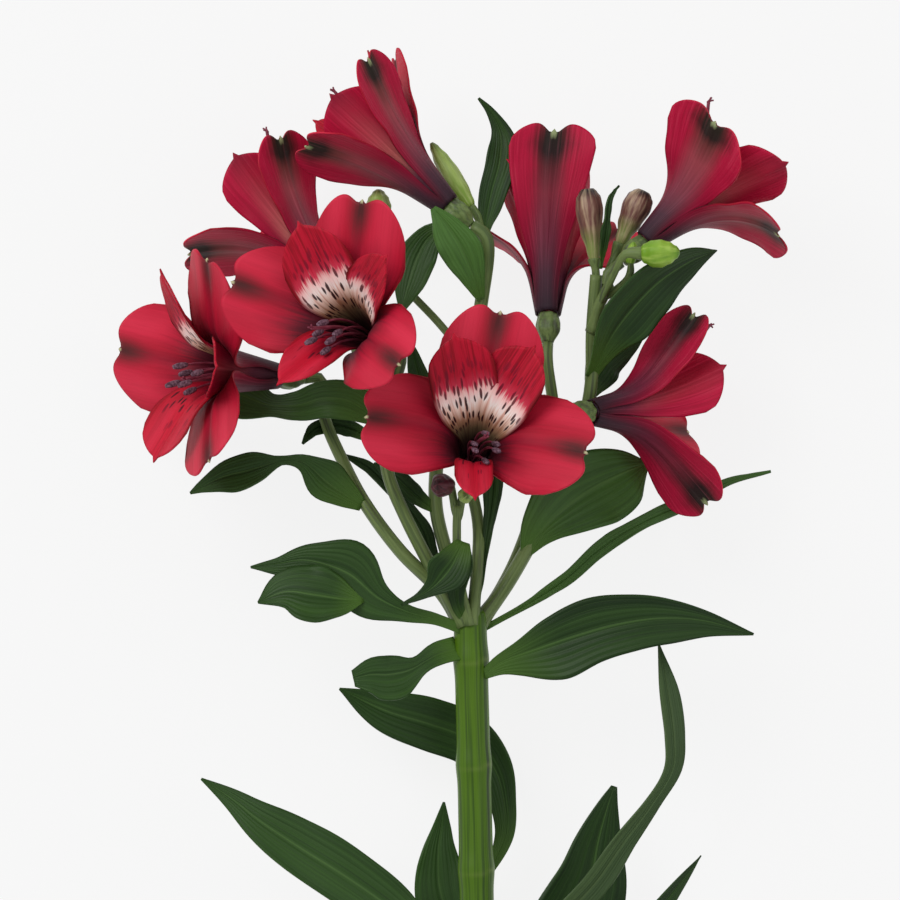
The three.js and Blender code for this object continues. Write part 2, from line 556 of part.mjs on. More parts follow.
    right: [1, 3.1, 6.2, 7.5, 7.8, 6.5, 3.4, 0.3], points: [
    [-1, -87.9, 2], [-8.3, -81.9, 7], [-20.8, -71.5, 9], [-32.5, -63.2, 10],
    [-44.2, -55.9, 9], [-54.1, -49.4, 8], [-61.9, -43.4, 6], [-69.7, -38.5, 4]] },
  { name: 'leaf_16', turn: [0, 0, 10], fold: 10, left: [1, 4.7, 7, 5.7, 2.9, 0.3],
    right: [1, 3.6, 6.2, 6.2, 3.4, 0.3], points: [
    [0, -86.1, -3], [-4.7, -77, -8], [-7.8, -68.1, -9], [-8.3, -58.5, -9],
    [-7.5, -51.5, -9], [-6.8, -45.2, -8]] },
  { name: 'leaf_17', turn: [20, 10, 10], fold: 10, left: [1.3, 7, 11, 12, 9.8, 5.6, 0.8],
    points: [
      [3.9, -107.9, -1], [16.9, -92.3, -5], [26, -79, -7], [31.2, -67, -8], [33.4, -56, -8],
      [35.9, -46.5, -7.5], [37.7, -41, -7]] },
  { name: 'leaf_18', turn: [30, 20, 20], fold: 10,
    left: [1, 3.4, 3.6, 3.4, 3.1, 2.1, 2.9, 2.6, 0.3],
    right: [1, 3.4, 3.9, 3.6, 2.9, 2.1, 2.9, 2.9, 0.3], points: [
    [3.1, -88.9, 2], [18.2, -79, 4], [30.9, -67.1, 6], [39.5, -55.1, 8], [47.1, -44.7, 8.5],
    [52.3, -35.9, 8.5], [52.8, -27.3, 8], [51.5, -16.9, 5.5], [49.1, -3.9, 2]] },
  { name: 'leaf_19', halfWidth: 5.5, turn: [40, 30, 30], fold: 12, points: [
    [4, -130, 1], [20, -110, 5], [40, -84, 6], [60, -58.5, 2]] },
  { name: 'leaf_20', turn: [0, 0], fold: 10, left: [1.6, 3.4, 0.5], points: [
    [-9.1, 45, -7], [-12, 60.1, -9], [-16.1, 76.4, -9]] },
  { name: 'leaf_21', turn: [0, 0], fold: 10, left: [0.5, 0.7, 0.9, 1.6, 2.6, 0.8], points: [
    [1, 3.1, 0], [2.9, 13, 0.6], [4.2, 23.1, 2], [5.5, 32, 1.5], [6.2, 40.6, -0.5],
    [6.5, 46.3, -3]] },
  { name: 'leaf_22', halfWidth: 7, turn: [20, 10, 10], fold: 12, points: [
    [-1, -150, 1], [-12, -140, 5], [-30, -122, 7], [-46, -108, 4]] },
  { name: 'leaf_23', halfWidth: 7, turn: [20, 10, 10], fold: 12, points: [
    [3, -172, 1], [14, -160, 4], [32, -142, 6], [50, -128, 2]] },
  { name: 'leaf_24', halfWidth: 6.5, turn: [20, 10, 10], fold: 12, points: [
    [-1, -196, 1], [-12, -186, 4], [-28, -170, 6], [-42, -156, 3]] },
  { name: 'leaf_25', halfWidth: 6, turn: [20, 10, 10], fold: 12, points: [
    [2, -222, 1], [12, -210, 3], [26, -196, 4], [38, -184, 0]] },
  { name: 'leaf_26', halfWidth: 1.3, turn: [20, 40, 0], fold: 12, points: [
    [34, 94, -1.5], [35.2, 104, 2.2], [36.4, 112, 1.5], [38.8, 115.5, 0]] },
  { name: 'leaf_27', turn: [20, 10, 0], fold: 8, left: [1.3, 2.1, 2.1, 1.8, 0.3], points: [
    [-26, 49.9, -12.5], [-31.2, 52.3, -11.5], [-36.4, 53.3, -10.3], [-40.8, 52, -8.5],
    [-43.7, 48.4, -7]] },
  { name: 'leaf_28', turn: [20, 20, 20], fold: 8,
    left: [0.8, 1.3, 1.8, 2.1, 1.8, 1.6, 1.6, 0.3], points: [
    [-3.9, 4.7, -1], [-7.8, 10.9, -3.5], [-10.1, 19.2, -6], [-12.7, 26.8, -6.5],
    [-16.9, 32.5, -8], [-21.6, 37.4, -9], [-26.8, 42.4, -10], [-33, 45.5, -10]] },
  { name: 'leaf_29', turn: [10, 10], fold: 8, left: [0.8, 2.3, 2.6, 0.3], points: [
    [-8.6, 30.7, -5], [-14, 34.8, -5], [-19.2, 39.5, -6], [-25, 43.4, -8]] },
];

/** A value along a leaf, from its root at 0 to its tip at 1, through even stations. */
function profileOf(values) {
  const curve = curveThrough(values.map((value, i) => [i, value, 0]));
  return (t) => curve.getPoint(THREE.MathUtils.clamp(t, 0, 1)).y;
}

/** The half width of a lance-shaped blade, which is broadest two fifths of the way along. */
function lanceProfile(halfWidth) {
  return (t) => {
    const widening = lerp(0.25, 1, smoothstep(t, 0, 0.4));
    return halfWidth * widening * (1 - Math.max(0, (t - 0.4) / 0.6) ** 2);
  };
}

function leafSurface(leaf) {
  const { points, turn, fold, halfWidth, left, right = left } = leaf;
  const broadest = halfWidth ?? Math.max(...left, ...right);
  const [leftAt, rightAt] = halfWidth
    ? [lanceProfile(halfWidth), lanceProfile(halfWidth)]
    : [profileOf(left), profileOf(right)];
  const turnAt = profileOf(turn);
  const samples = 64;
  const midrib = curveThrough(points).getSpacedPoints(samples);
  const onMidrib = (t) => {
    const place = THREE.MathUtils.clamp(t * samples, 0, samples - 1e-3);
    const i = Math.floor(place);
    return midrib[i].clone().lerp(midrib[i + 1], place - i);
  };
  return (t, v) => {
    const point = onMidrib(t);
    const tangent = onMidrib(Math.min(t + 0.03, 1)).sub(onMidrib(Math.max(t - 0.03, 0)));
    tangent.normalize();
    const flat = new THREE.Vector3(0, 0, 1).cross(tangent).normalize();
    const facing = tangent.clone().cross(flat);
    const angle = degToRad(turnAt(t));
    const across = flat.clone().multiplyScalar(Math.cos(angle));
    across.addScaledVector(facing, Math.sin(angle));
    const normal = tangent.clone().cross(across);
    const width = Math.max((v < 0 ? rightAt : leftAt)(t), 0.3);
    const size = width / broadest;
    const rise = degToRad(fold) * Math.min(1, 1.4 * size);
    const x = v * width * Math.cos(rise);
    const ripple = 0.5 * v * v * Math.sin(9 * t + 1.5 * v) * size;
    const lift = Math.abs(v) * width * Math.sin(rise) + ripple;
    return point.addScaledVector(across, x).addScaledVector(normal, lift);
  };
}

function stripOf(leaf) {
  const steps = Math.max(4, Math.round(curveThrough(leaf.points).getLength() / 8));
  return blade(leafSurface(leaf), steps, 2, LEAF_THICKNESS);
}

function leafBody(leaf, stemClearance) {
  const strips = leaf.lobe ? [leaf, leaf.lobe] : [leaf];
  return largestBody(fuse(strips.map(stripOf)).subtract(stemClearance));
}

// ---- Assembly --------------------------------------------------------------------------

const plant = new THREE.Group();
plant.rotation.x = LIE_TILT;
const cutEndUnderside = -STEM_LENGTH * Math.sin(LIE_TILT) - STEM_CUT_RADIUS * Math.cos(LIE_TILT);
plant.position.z = -cutEndUnderside - TOUCH_DEPTH;
plant.updateMatrixWorld(true);

/** Everything below the table's surface, as the plant's own frame sees it. */
function tableBody() {
  const size = 900;
  const box = new THREE.BoxGeometry(size, size, size);
  box.deleteAttribute('normal');
  box.deleteAttribute('uv');
  const corners = [];
  const toPlant = plant.matrixWorld.clone().invert();
  for (const x of [-0.5, 0.5]) {
    for (const y of [-0.5, 0.5]) {
      for (const z of [-1, 0]) {
        corners.push(new THREE.Vector3(x * size, y * size, z * size).applyMatrix4(toPlant));
      }
    }
  }
  const triangles = [
    [0, 1, 3], [0, 3, 2], [4, 6, 7], [4, 7, 5], [0, 4, 5], [0, 5, 1],
    [2, 3, 7], [2, 7, 6], [0, 2, 6], [0, 6, 4], [1, 5, 7], [1, 7, 3],
  ];
  return solidOf(corners, triangles);
}

const table = tableBody();

function add(name, solid, material) {
  const mesh = new THREE.Mesh(geometryOf(largestBody(solid.subtract(table))), material);
  mesh.name = name;
  plant.add(mesh);
}

add('stem', stemBody(), STALK_GREEN);
for (const bloom of BLOOMS) {
  add(`${bloom.name}_tepals`, tepalsOf(bloom), PETAL_RED);
  add(`${bloom.name}_stamens`, stamensOf(bloom), STAMEN_MAROON);
}
for (const bud of BUDS) {
  add(bud.name, budBody(bud), bud.finish);
}
const stemClearance = stemBody(CLEARANCE);
for (const leaf of LEAVES) {
  add(leaf.name, leafBody(leaf, stemClearance), LEAF_GREEN);
}

// The origin lies on the table, under the middle of the bounding box.
const middle = new THREE.Box3().setFromObject(plant, true).getCenter(new THREE.Vector3());
plant.position.x = -middle.x;
plant.position.y = -middle.y;

const alstroemeria = new THREE.Group();
alstroemeria.add(plant);

export default alstroemeria;
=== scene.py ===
"""Looks of a cut stem of red alstroemeria that lies on a table.

The plant is described in its own frame, in millimetres: the origin is the top of the main stem,
where the flower stalks part, +Y runs up the stem to the flowers and +Z faces the viewer. Each
finished mesh is then moved to the row frame, in metres, with the table at z = 0.
"""

import logging
import math
from collections.abc import Callable, Sequence
from dataclasses import dataclass, field, replace
from enum import Enum
from typing import TypeVar

import bmesh
import bpy
from mathutils import Matrix, Vector


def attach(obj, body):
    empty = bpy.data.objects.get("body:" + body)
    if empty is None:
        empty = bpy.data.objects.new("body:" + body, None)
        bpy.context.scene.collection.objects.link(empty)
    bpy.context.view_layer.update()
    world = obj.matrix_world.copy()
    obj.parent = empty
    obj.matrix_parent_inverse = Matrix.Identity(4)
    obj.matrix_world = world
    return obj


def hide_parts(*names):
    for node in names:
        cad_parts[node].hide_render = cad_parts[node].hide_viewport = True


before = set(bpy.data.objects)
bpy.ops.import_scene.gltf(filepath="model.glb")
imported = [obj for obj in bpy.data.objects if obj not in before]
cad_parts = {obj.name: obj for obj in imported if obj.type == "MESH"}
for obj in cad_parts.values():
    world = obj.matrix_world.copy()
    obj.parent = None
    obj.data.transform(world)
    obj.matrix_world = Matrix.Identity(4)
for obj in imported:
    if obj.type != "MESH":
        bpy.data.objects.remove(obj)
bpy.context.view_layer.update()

log = logging.getLogger("alstroemeria")

Point = tuple[float, float, float]
Surface = Callable[[float, float], Vector]
Row = tuple[str, str, dict, dict]
Value = TypeVar("Value", float, Vector)

# ---- The plant's place -------------------------------------------------------------------

MM = 0.001
LIE_TILT = math.radians(5.7)
SHIFT = Vector((5.26425552, 58.11504505, 31.19309361))
PLANT_TO_ROW = (
    Matrix.Scale(MM, 4) @ Matrix.Translation(SHIFT) @ Matrix.Rotation(LIE_TILT, 4, "X")
)

BODY = "root"
SEED_LAYER = "seed"
MARK_LAYER = "mark"
UV_LAYER = "UVMap"

# ---- Sizes that several pieces share, in millimetres ------------------------------------

PETAL_THICKNESS = 0.42
LEAF_THICKNESS = 0.5
OVARY_LENGTH = 7.0
OVARY_RADIUS = 3.1
RECEPTACLE_HEIGHT = 2.8
STEM_LENGTH = 270.0
STEM_RADIUS = 4.3
STEM_CUT_RADIUS = 4.7
STEM_TOP = 4.0
NODE_SWELL = 0.7
LEAF_NODES = (-11, -38, -65, -88, -108, -130, -150, -172, -196, -222)

# The main stem has a ring of faces for each millimetre.
STEM_RINGS = round(STEM_LENGTH + STEM_TOP)

# How far round the ripples of two petals or leaves may be set apart, in radians.
RIPPLE_TURN = 6.3


# ---- Small sums --------------------------------------------------------------------------


def lerp(a: float, b: float, t: float) -> float:
    """Returns the value a share t of the way from a to b."""
    return a + (b - a) * t


def smoothstep(x: float, low: float, high: float) -> float:
    """Returns 0 below low, 1 above high and a smooth rise between them."""
    t = min(max((x - low) / (high - low), 0.0), 1.0)
    return t * t * (3 - 2 * t)


def hump(x: float, centre: float, width: float) -> float:
    """Returns a smooth hump of height 1 round a centre."""
    return math.exp(-(((x - centre) / width) ** 2))


def scatter(index: float, salt: float = 0.0) -> float:
    """Gives a fixed value between 0 and 1 that looks random.

    Args:
        index: Which piece or place it is for.
        salt: Which of a piece's several values it is.

    Returns:
        The value.
    """
    value = math.sin(index * 12.9898 + salt * 78.233) * 43758.5453
    return value - math.floor(value)


def spline(values: Sequence[Value], t: float) -> Value:
    """Finds a number or a point on a smooth line through even stations.

    Args:
        values: The number or point at each station.
        t: The share of the way along, by stations.

    Returns:
        The number or point there, on a Catmull-Rom line.
    """
    knots = [2 * values[0] - values[1], *values, 2 * values[-1] - values[-2]]
    spans = len(values) - 1
    place = min(max(t, 0.0) * spans, spans - 1e-9)
    i = int(place)
    k = place - i
    p0, p1, p2, p3 = knots[i : i + 4]
    m1 = (p2 - p0) * 0.5
    m2 = (p3 - p1) * 0.5
    a = 2 * p1 - 2 * p2 + m1 + m2
    b = -3 * p1 + 3 * p2 - 2 * m1 - m2
    return a * k**3 + b * k**2 + m1 * k + p1


class Curve:
    """A smooth curve through points, walked at an even pace from 0 to 1."""

    SAMPLES = 240

    def __init__(self, points: Sequence[Sequence[float]]) -> None:
        """Measures the curve.

        Args:
            points: The points that it passes through, in order.
        """
        knots = [Vector(point) for point in points]
        self.dense = [spline(knots, i / self.SAMPLES) for i in range(self.SAMPLES + 1)]
        self.reach = [0.0]
        for before, after in zip(self.dense, self.dense[1:]):
            self.reach.append(self.reach[-1] + (after - before).length)
        self.length = self.reach[-1]

    def at(self, t: float) -> Vector:
        """Returns the point a share t of the way along, by length."""
        goal = min(max(t, 0.0), 1.0) * self.length
        low, high = 0, len(self.reach) - 1
        while high - low > 1:
            middle = (low + high) // 2
            if self.reach[middle] <= goal:
                low = middle
            else:
                high = middle
        span = max(self.reach[high] - self.reach[low], 1e-9)
        return self.dense[low].lerp(self.dense[high], (goal - self.reach[low]) / span)

    def tangent(self, t: float, step: float = 0.03) -> Vector:
        """Returns the direction of the curve a share t of the way along."""
        return (self.at(t + step) - self.at(t - step)).normalized()


# ---- Nodes of a material -----------------------------------------------------------------

# Settings that many nodes share. BLEND mixes two colours and TINT multiplies them.
BLEND = {"data_type": "RGBA", "blend_type": "MIX"}
TINT = {"data_type": "RGBA", "blend_type": "MULTIPLY"}
LINEAR = {"interpolation_type": "LINEAR"}
SMOOTH = {"interpolation_type": "SMOOTHSTEP"}
ADD = {"operation": "ADD"}
TIMES = {"operation": "MULTIPLY"}
TIMES_ADD = {"operation": "MULTIPLY_ADD"}

# The inputs of a node that blends colours.
SHARE = "Factor_Float"
FIRST = "A_Color"
SECOND = "B_Color"

# How far apart the patterns of two pieces lie, in steps of the noise.
PATTERN_SHIFT = 37.0


def srgb(code: str) -> tuple[float, float, float, float]:
    """Turns an sRGB hex colour to linear.

    Args:
        code: The colour, such as #c41f35.

    Returns:
        Its linear red, green, blue and alpha.
    """
    parts = [int(code[i : i + 2], 16) / 255 for i in (1, 3, 5)]
    linear = [p / 12.92 if p <= 0.04045 else ((p + 0.055) / 1.055) ** 2.4 for p in parts]
    return (*linear, 1.0)


def add_node(tree: bpy.types.NodeTree, made: dict[str, bpy.types.Node], row: Row) -> None:
    """Adds one node with its settings and links.

    Args:
        tree: The material's node tree.
        made: The nodes added so far, by key; the new one joins them.
        row: The new node's key, its kind, its settings and its inputs. An input is a plain
            value, a hex colour, or the key and output of another node, such as "uv.UV". The
            setting "stops" fills a colour ramp with places and colours or grey values.
    """
    key, kind, settings, inputs = row
    node = tree.nodes.new("ShaderNode" + kind)
    for name, value in settings.items():
        if name != "stops":
            setattr(node, name, value)
            continue
        elements = node.color_ramp.elements
        while len(elements) < len(value):
            elements.new(1.0)
        for element, (place, colour) in zip(elements, value):
            element.position = place
            grey = isinstance(colour, (int, float))
            element.color = (colour, colour, colour, 1.0) if grey else srgb(colour)
    for name, value in inputs.items():
        by_name = {socket.identifier: socket for socket in node.inputs}
        socket = node.inputs[name] if isinstance(name, int) else by_name[name]
        if isinstance(value, str) and value.startswith("#"):
            socket.default_value = srgb(value)
        elif isinstance(value, str):
            source, output = value.split(".")
            outputs = {out.identifier: out for out in made[source].outputs}
            tree.links.new(outputs[output], socket)
        else:
            socket.default_value = value
    made[key] = node


def make_material(name: str, rows: Sequence[Row]) -> bpy.types.Material:
    """Builds a material from its rows; the row with the key "surface" is its shader.

    Args:
        name: The material's name.
        rows: Its nodes, each after the nodes that it reads.

    Returns:
        The material.
    """
    material = bpy.data.materials.new(name)
    material.use_nodes = True
    tree = material.node_tree
    tree.nodes.clear()
    made: dict[str, bpy.types.Node] = {}
    for row in rows:
        add_node(tree, made, row)
    add_node(tree, made, ("out", "OutputMaterial", {}, {"Surface": "surface.BSDF"}))
    return material


def sheet_rows(fan: Point) -> list[Row]:
    """Writes the rows that every petal and leaf shares: the place along and across the blade.

    Args:
        fan: How finely the streaks repeat across and along the blade, and their third scale.

    Returns:
        The rows. place holds the place across and along, 0 to 1; across is 0 on the midrib and
        1 at either edge; fan is where the noise is read, and streaks is the noise.
    """
    return [
        ("uv", "UVMap", {"uv_map": UV_LAYER}, {}),
        ("place", "SeparateXYZ", {}, {"Vector": "uv.UV"}),
        ("from_mid", "Math", {"operation": "SUBTRACT"}, {0: "place.X", 1: 0.5}),
        ("half", "Math", {"operation": "ABSOLUTE"}, {0: "from_mid.Value"}),
        ("across", "Math", TIMES, {0: "half.Value", 1: 2.0}),
        ("seed", "Attribute", {"attribute_name": SEED_LAYER}, {}),
        ("shift", "CombineXYZ", {}, {"X": "seed.Fac", "Y": "seed.Fac", "Z": "seed.Fac"}),
        ("far", "VectorMath", {"operation": "SCALE"}, {0: "shift.Vector", "Scale": PATTERN_SHIFT}),
        ("fan", "Mapping", {}, {"Vector": "uv.UV", "Location": "far.Vector", "Scale": fan}),
        ("streaks", "TexNoise", {}, {"Vector": "fan.Vector", "Scale": 1.0, "Detail": 3.0,
                                     "Roughness": 0.6}),
    ]


def layer_rows(
    key: str, under: str, over: str, measure: str, low: float, high: float,
    most: float = 1.0, blend: dict = BLEND, ease: dict = LINEAR,
) -> list[Row]:
    """Writes the rows that lay one colour over another by how high a measure is.

    Args:
        key: The key of the row whose colour results. Its share's key ends in _share.
        under: The colour below, or the output that gives it.
        over: The colour laid on it, or the output that gives it.
        measure: The output that is measured.
        low: The measure at which nothing is laid.
        high: The measure at which the most is laid. It may lie below low.
        most: How much is laid there, 0 to 1.
        blend: How the colours meet, BLEND or TINT.
        ease: How the share grows in between, LINEAR or SMOOTH.

    Returns:
        The rows.
    """
    return [
        (f"{key}_share", "MapRange", ease, {"Value": measure, "From Min": low, "From Max": high,
                                            "To Max": most}),
        (key, "Mix", blend, {SHARE: f"{key}_share.Result", FIRST: under, SECOND: over}),
    ]


def spot_rows(key: str, wide: float, long: float, shift: float) -> list[Row]:
    """Writes the rows that measure how far a place is from the middle of the blade's tip.

    Args:
        key: What their keys start with; the last of them is key_off.
        wide: How fast it grows across the blade.
        long: How fast it grows along the blade.
        shift: What is added to the part along the blade.

    Returns:
        The rows.
    """
    return [
        (f"{key}_x", "Math", TIMES, {0: "across.Value", 1: wide}),
        (f"{key}_y", "Math", TIMES_ADD, {0: "place.Y", 1: long, 2: shift}),
        (f"{key}_at", "CombineXYZ", {}, {"X": f"{key}_x.Value", "Y": f"{key}_y.Value"}),
        (f"{key}_off", "VectorMath", {"operation": "LENGTH"}, {0: f"{key}_at.Vector"}),
    ]


# ---- Finishes ----------------------------------------------------------------------------


class TepalKind(Enum):
    """The three kinds of petal in a bloom."""

    OUTER = "outer"
    INNER = "inner"
    LOWER_INNER = "lower_inner"


@dataclass(frozen=True)
class PetalInside:
    """Fresh petal, upper face: velvety crimson with fine veins that fan out from the claw.

    Tiny domed cells scatter light, which gives the eye a soft sheen and no mirror gloss.
    Its colour also holds painted light: a highlight on the middle of each lobe, shade along the
    edges on top of their darker margin, and shade in the outer petals' midrib crease.
    """

    kind: TepalKind
    veins: float = 0.13
    # How dark the band along the edges is: partly a darker margin, partly painted shade.
    rim: float = 0.4
    clouds: float = 0.3
    # Pale pink on each lobe's middle: partly the lobes' colour, partly a painted highlight.
    painted_highlight: float = 0.3
    velvet: float = 0.08
    roughness: float = 0.52

    def ground(self) -> list[Row]:
        """Returns the rows of the colour along the petal, without its markings."""
        if self.kind is TepalKind.INNER:
            return [
                ("jag", "Math", TIMES_ADD, {0: "streaks.Fac", 1: 0.2, 2: -0.1}),
                ("bow", "Math", TIMES_ADD, {0: "across.Value", 1: -0.10, 2: "place.Y"}),
                ("reach", "Math", ADD, {0: "jag.Value", 1: "bow.Value"}),
                ("ground", "ValToRGB", {"stops": (
                    (0.0, "#1d0b12"), (0.22, "#3a3228"), (0.36, "#7a6c4e"), (0.46, "#b58a6c"),
                    (0.55, "#f4d6c6"), (0.60, "#fff2ec"), (0.66, "#f8c8c4"), (0.70, "#cc3850"),
                    (0.77, "#b4102d"), (1.0, "#bd142f"))}, {"Fac": "reach.Value"}),
            ]
        if self.kind is TepalKind.LOWER_INNER:
            stops = ((0.0, "#1d0b12"), (0.26, "#340d1a"), (0.44, "#9c0f2b"), (0.6, "#c4122f"),
                     (1.0, "#c81a35"))
        else:
            stops = ((0.0, "#1d0b12"), (0.26, "#2e141e"), (0.40, "#5c1a28"), (0.54, "#a6122e"),
                     (0.68, "#be1835"), (1.0, "#c6213c"))
        return [
            ("smoke", "MapRange", {}, {"Value": "streaks.Fac", "From Min": 0.3, "From Max": 0.7,
                                       "To Min": -0.05, "To Max": 0.05}),
            ("dusk", "Attribute", {"attribute_name": MARK_LAYER}, {}),
            ("murk", "Math", TIMES_ADD, {0: "dusk.Fac", 1: -0.17, 2: "smoke.Result"}),
            ("reach", "Math", ADD, {0: "place.Y", 1: "murk.Value"}),
            ("ground", "ValToRGB", {"stops": stops}, {"Fac": "reach.Value"}),
        ]

    def dashes(self) -> list[Row]:
        """Returns the rows of the dark dashes, about 0.5 mm wide and 2 mm long, in rows."""
        first, last = (0.38, 0.98) if self.kind is TepalKind.INNER else (0.42, 0.92)
        fewest = 0.26 if self.kind is TepalKind.INNER else 0.7
        return [
            ("cells", "Mapping", {}, {"Vector": "uv.UV", "Location": "far.Vector",
                                      "Scale": (15.0, 9.5, 1.0)}),
            ("dash", "TexVoronoi", {"voronoi_dimensions": "2D"},
             {"Vector": "cells.Vector", "Scale": 1.0, "Randomness": 0.85}),
            ("dash_size", "Math", TIMES_ADD, {0: "streaks.Fac", 1: 0.5, 2: "dash.Distance"}),
            ("dash_core", "MapRange", {}, {"Value": "dash_size.Value", "From Min": 0.59,
                                           "From Max": 0.50}),
            ("dash_pick", "SeparateColor", {}, {"Color": "dash.Color"}),
            ("dash_kept", "Math", {"operation": "GREATER_THAN"}, {0: "dash_pick.Red", 1: fewest}),
            ("dash_zone", "ValToRGB", {"stops": (
                (first, 0.0), (first + 0.06, 1.0), (last - 0.22, 0.9), (last, 0.0))},
             {"Fac": "place.Y"}),
            ("dash_in", "MapRange", {}, {"Value": "across.Value", "From Min": 0.97,
                                         "From Max": 0.86}),
            ("dash_a", "Math", TIMES, {0: "dash_core.Result", 1: "dash_kept.Value"}),
            ("dash_b", "Math", TIMES, {0: "dash_a.Value", 1: "dash_zone.Color"}),
            ("dash_c", "Math", TIMES, {0: "dash_b.Value", 1: "dash_in.Result"}),
            ("dash_ink", "ValToRGB", {"stops": ((0.64, "#2c0a14"), (0.74, "#6d0c24"))},
             {"Fac": "place.Y"}),
            ("dashed", "Mix", BLEND, {SHARE: "dash_c.Value", FIRST: "veined.Result_Color",
                                      SECOND: "dash_ink.Color"}),
        ]

    def tip_mark(self) -> list[Row]:
        """Returns the rows of the dark notch mark, its pale point and painted shade on the midrib.
        """
        return [
            *spot_rows("mark", 2.8, 4.0, -3.8),
            ("mark_soft", "Math", TIMES_ADD, {0: "streaks.Fac", 1: -0.5, 2: "mark_off.Value"}),
            # Darker streak along the midrib: painted shade in the petal's crease.
            *layer_rows("midrib_shaded", "veined.Result_Color", "#5e0f22", "across.Value", 0.22, 0.0, 0.4,
                        ease=SMOOTH),
            *layer_rows("marked", "lined.Result_Color", "#38211f", "mark_soft.Value", 0.75, -0.3,
                        0.9, ease=SMOOTH),
            *spot_rows("point", 28.0, 44.0, -43.9),
            *layer_rows("pointed", "marked.Result_Color", "#b7b48c", "point_off.Value", 1.0, 0.5),
        ]

    def rows(self) -> list[Row]:
        """Returns the material's rows."""
        rows = [
            *sheet_rows((34.0, 2.2, 1.0)),
            *self.ground(),
            ("vein_tint", "ValToRGB", {"stops": ((0.64, "#e8b4b0"), (0.72, "#8c1029"))},
             {"Fac": "reach.Value"}),
            *layer_rows("streaked", "ground.Color", "vein_tint.Color", "streaks.Fac", 0.54, 0.36,
                        self.veins, blend=TINT),
            # Pale pink on each lobe's dome: partly paler colour, partly a painted highlight.
            ("off_lobe", "Math", {"operation": "SUBTRACT"}, {0: "across.Value", 1: 0.52}),
            ("lobe_gap", "Math", {"operation": "ABSOLUTE"}, {0: "off_lobe.Value"}),
            ("lobe_in", "MapRange", SMOOTH, {"Value": "lobe_gap.Value", "From Min": 0.4,
                                             "From Max": 0.0, "To Max": self.painted_highlight}),
            ("lobe_high", "MapRange", SMOOTH, {"Value": "place.Y", "From Min": 0.55,
                                               "From Max": 0.82}),
            ("painted_highlight", "Math", TIMES, {0: "lobe_in.Result", 1: "lobe_high.Result"}),
            ("painted_highlight_mix", "Mix", BLEND, {SHARE: "flush.Value", FIRST: "streaked.Result_Color",
                                       SECOND: "#ea3f5a"}),
            ("clouds", "TexNoise", {}, {"Vector": "fan.Vector", "Scale": 0.12, "Detail": 1.0}),
            *layer_rows("clouded", "flushed.Result_Color", "#a04a55", "clouds.Fac", 0.42, 0.68,
                        self.clouds, blend=TINT),
            # Darker band along the edges: partly the petal's darker margin, partly painted shade.
            *layer_rows("overlaid", "clouded.Result_Color", "#93283c", "across.Value", 0.82, 1.0,
                        self.rim, blend=TINT, ease=SMOOTH),
        ]
        last = "pointed.Result_Color"
        if self.kind is TepalKind.OUTER:
            rows += self.tip_mark()
        else:
            rows += self.dashes()
            last = "dashed.Result_Color"
        return [
            *rows,
            ("grain", "TexNoise", {}, {"Vector": "fan.Vector", "Scale": 2.4, "Detail": 2.0}),
            ("relief", "Math", ADD, {0: "streaks.Fac", 1: "grain.Fac"}),
            ("bump", "Bump", {}, {"Height": "relief.Value", "Strength": 0.28, "Distance": 0.0002}),
            ("surface", "BsdfPrincipled", {}, {
                "Base Color": last, "Roughness": self.roughness, "IOR": 1.4,
                "Specular IOR Level": 0.22, "Sheen Weight": self.velvet,
                "Sheen Roughness": 0.45, "Sheen Tint": "#ff5f78", "Normal": "bump.Normal"}),
        ]


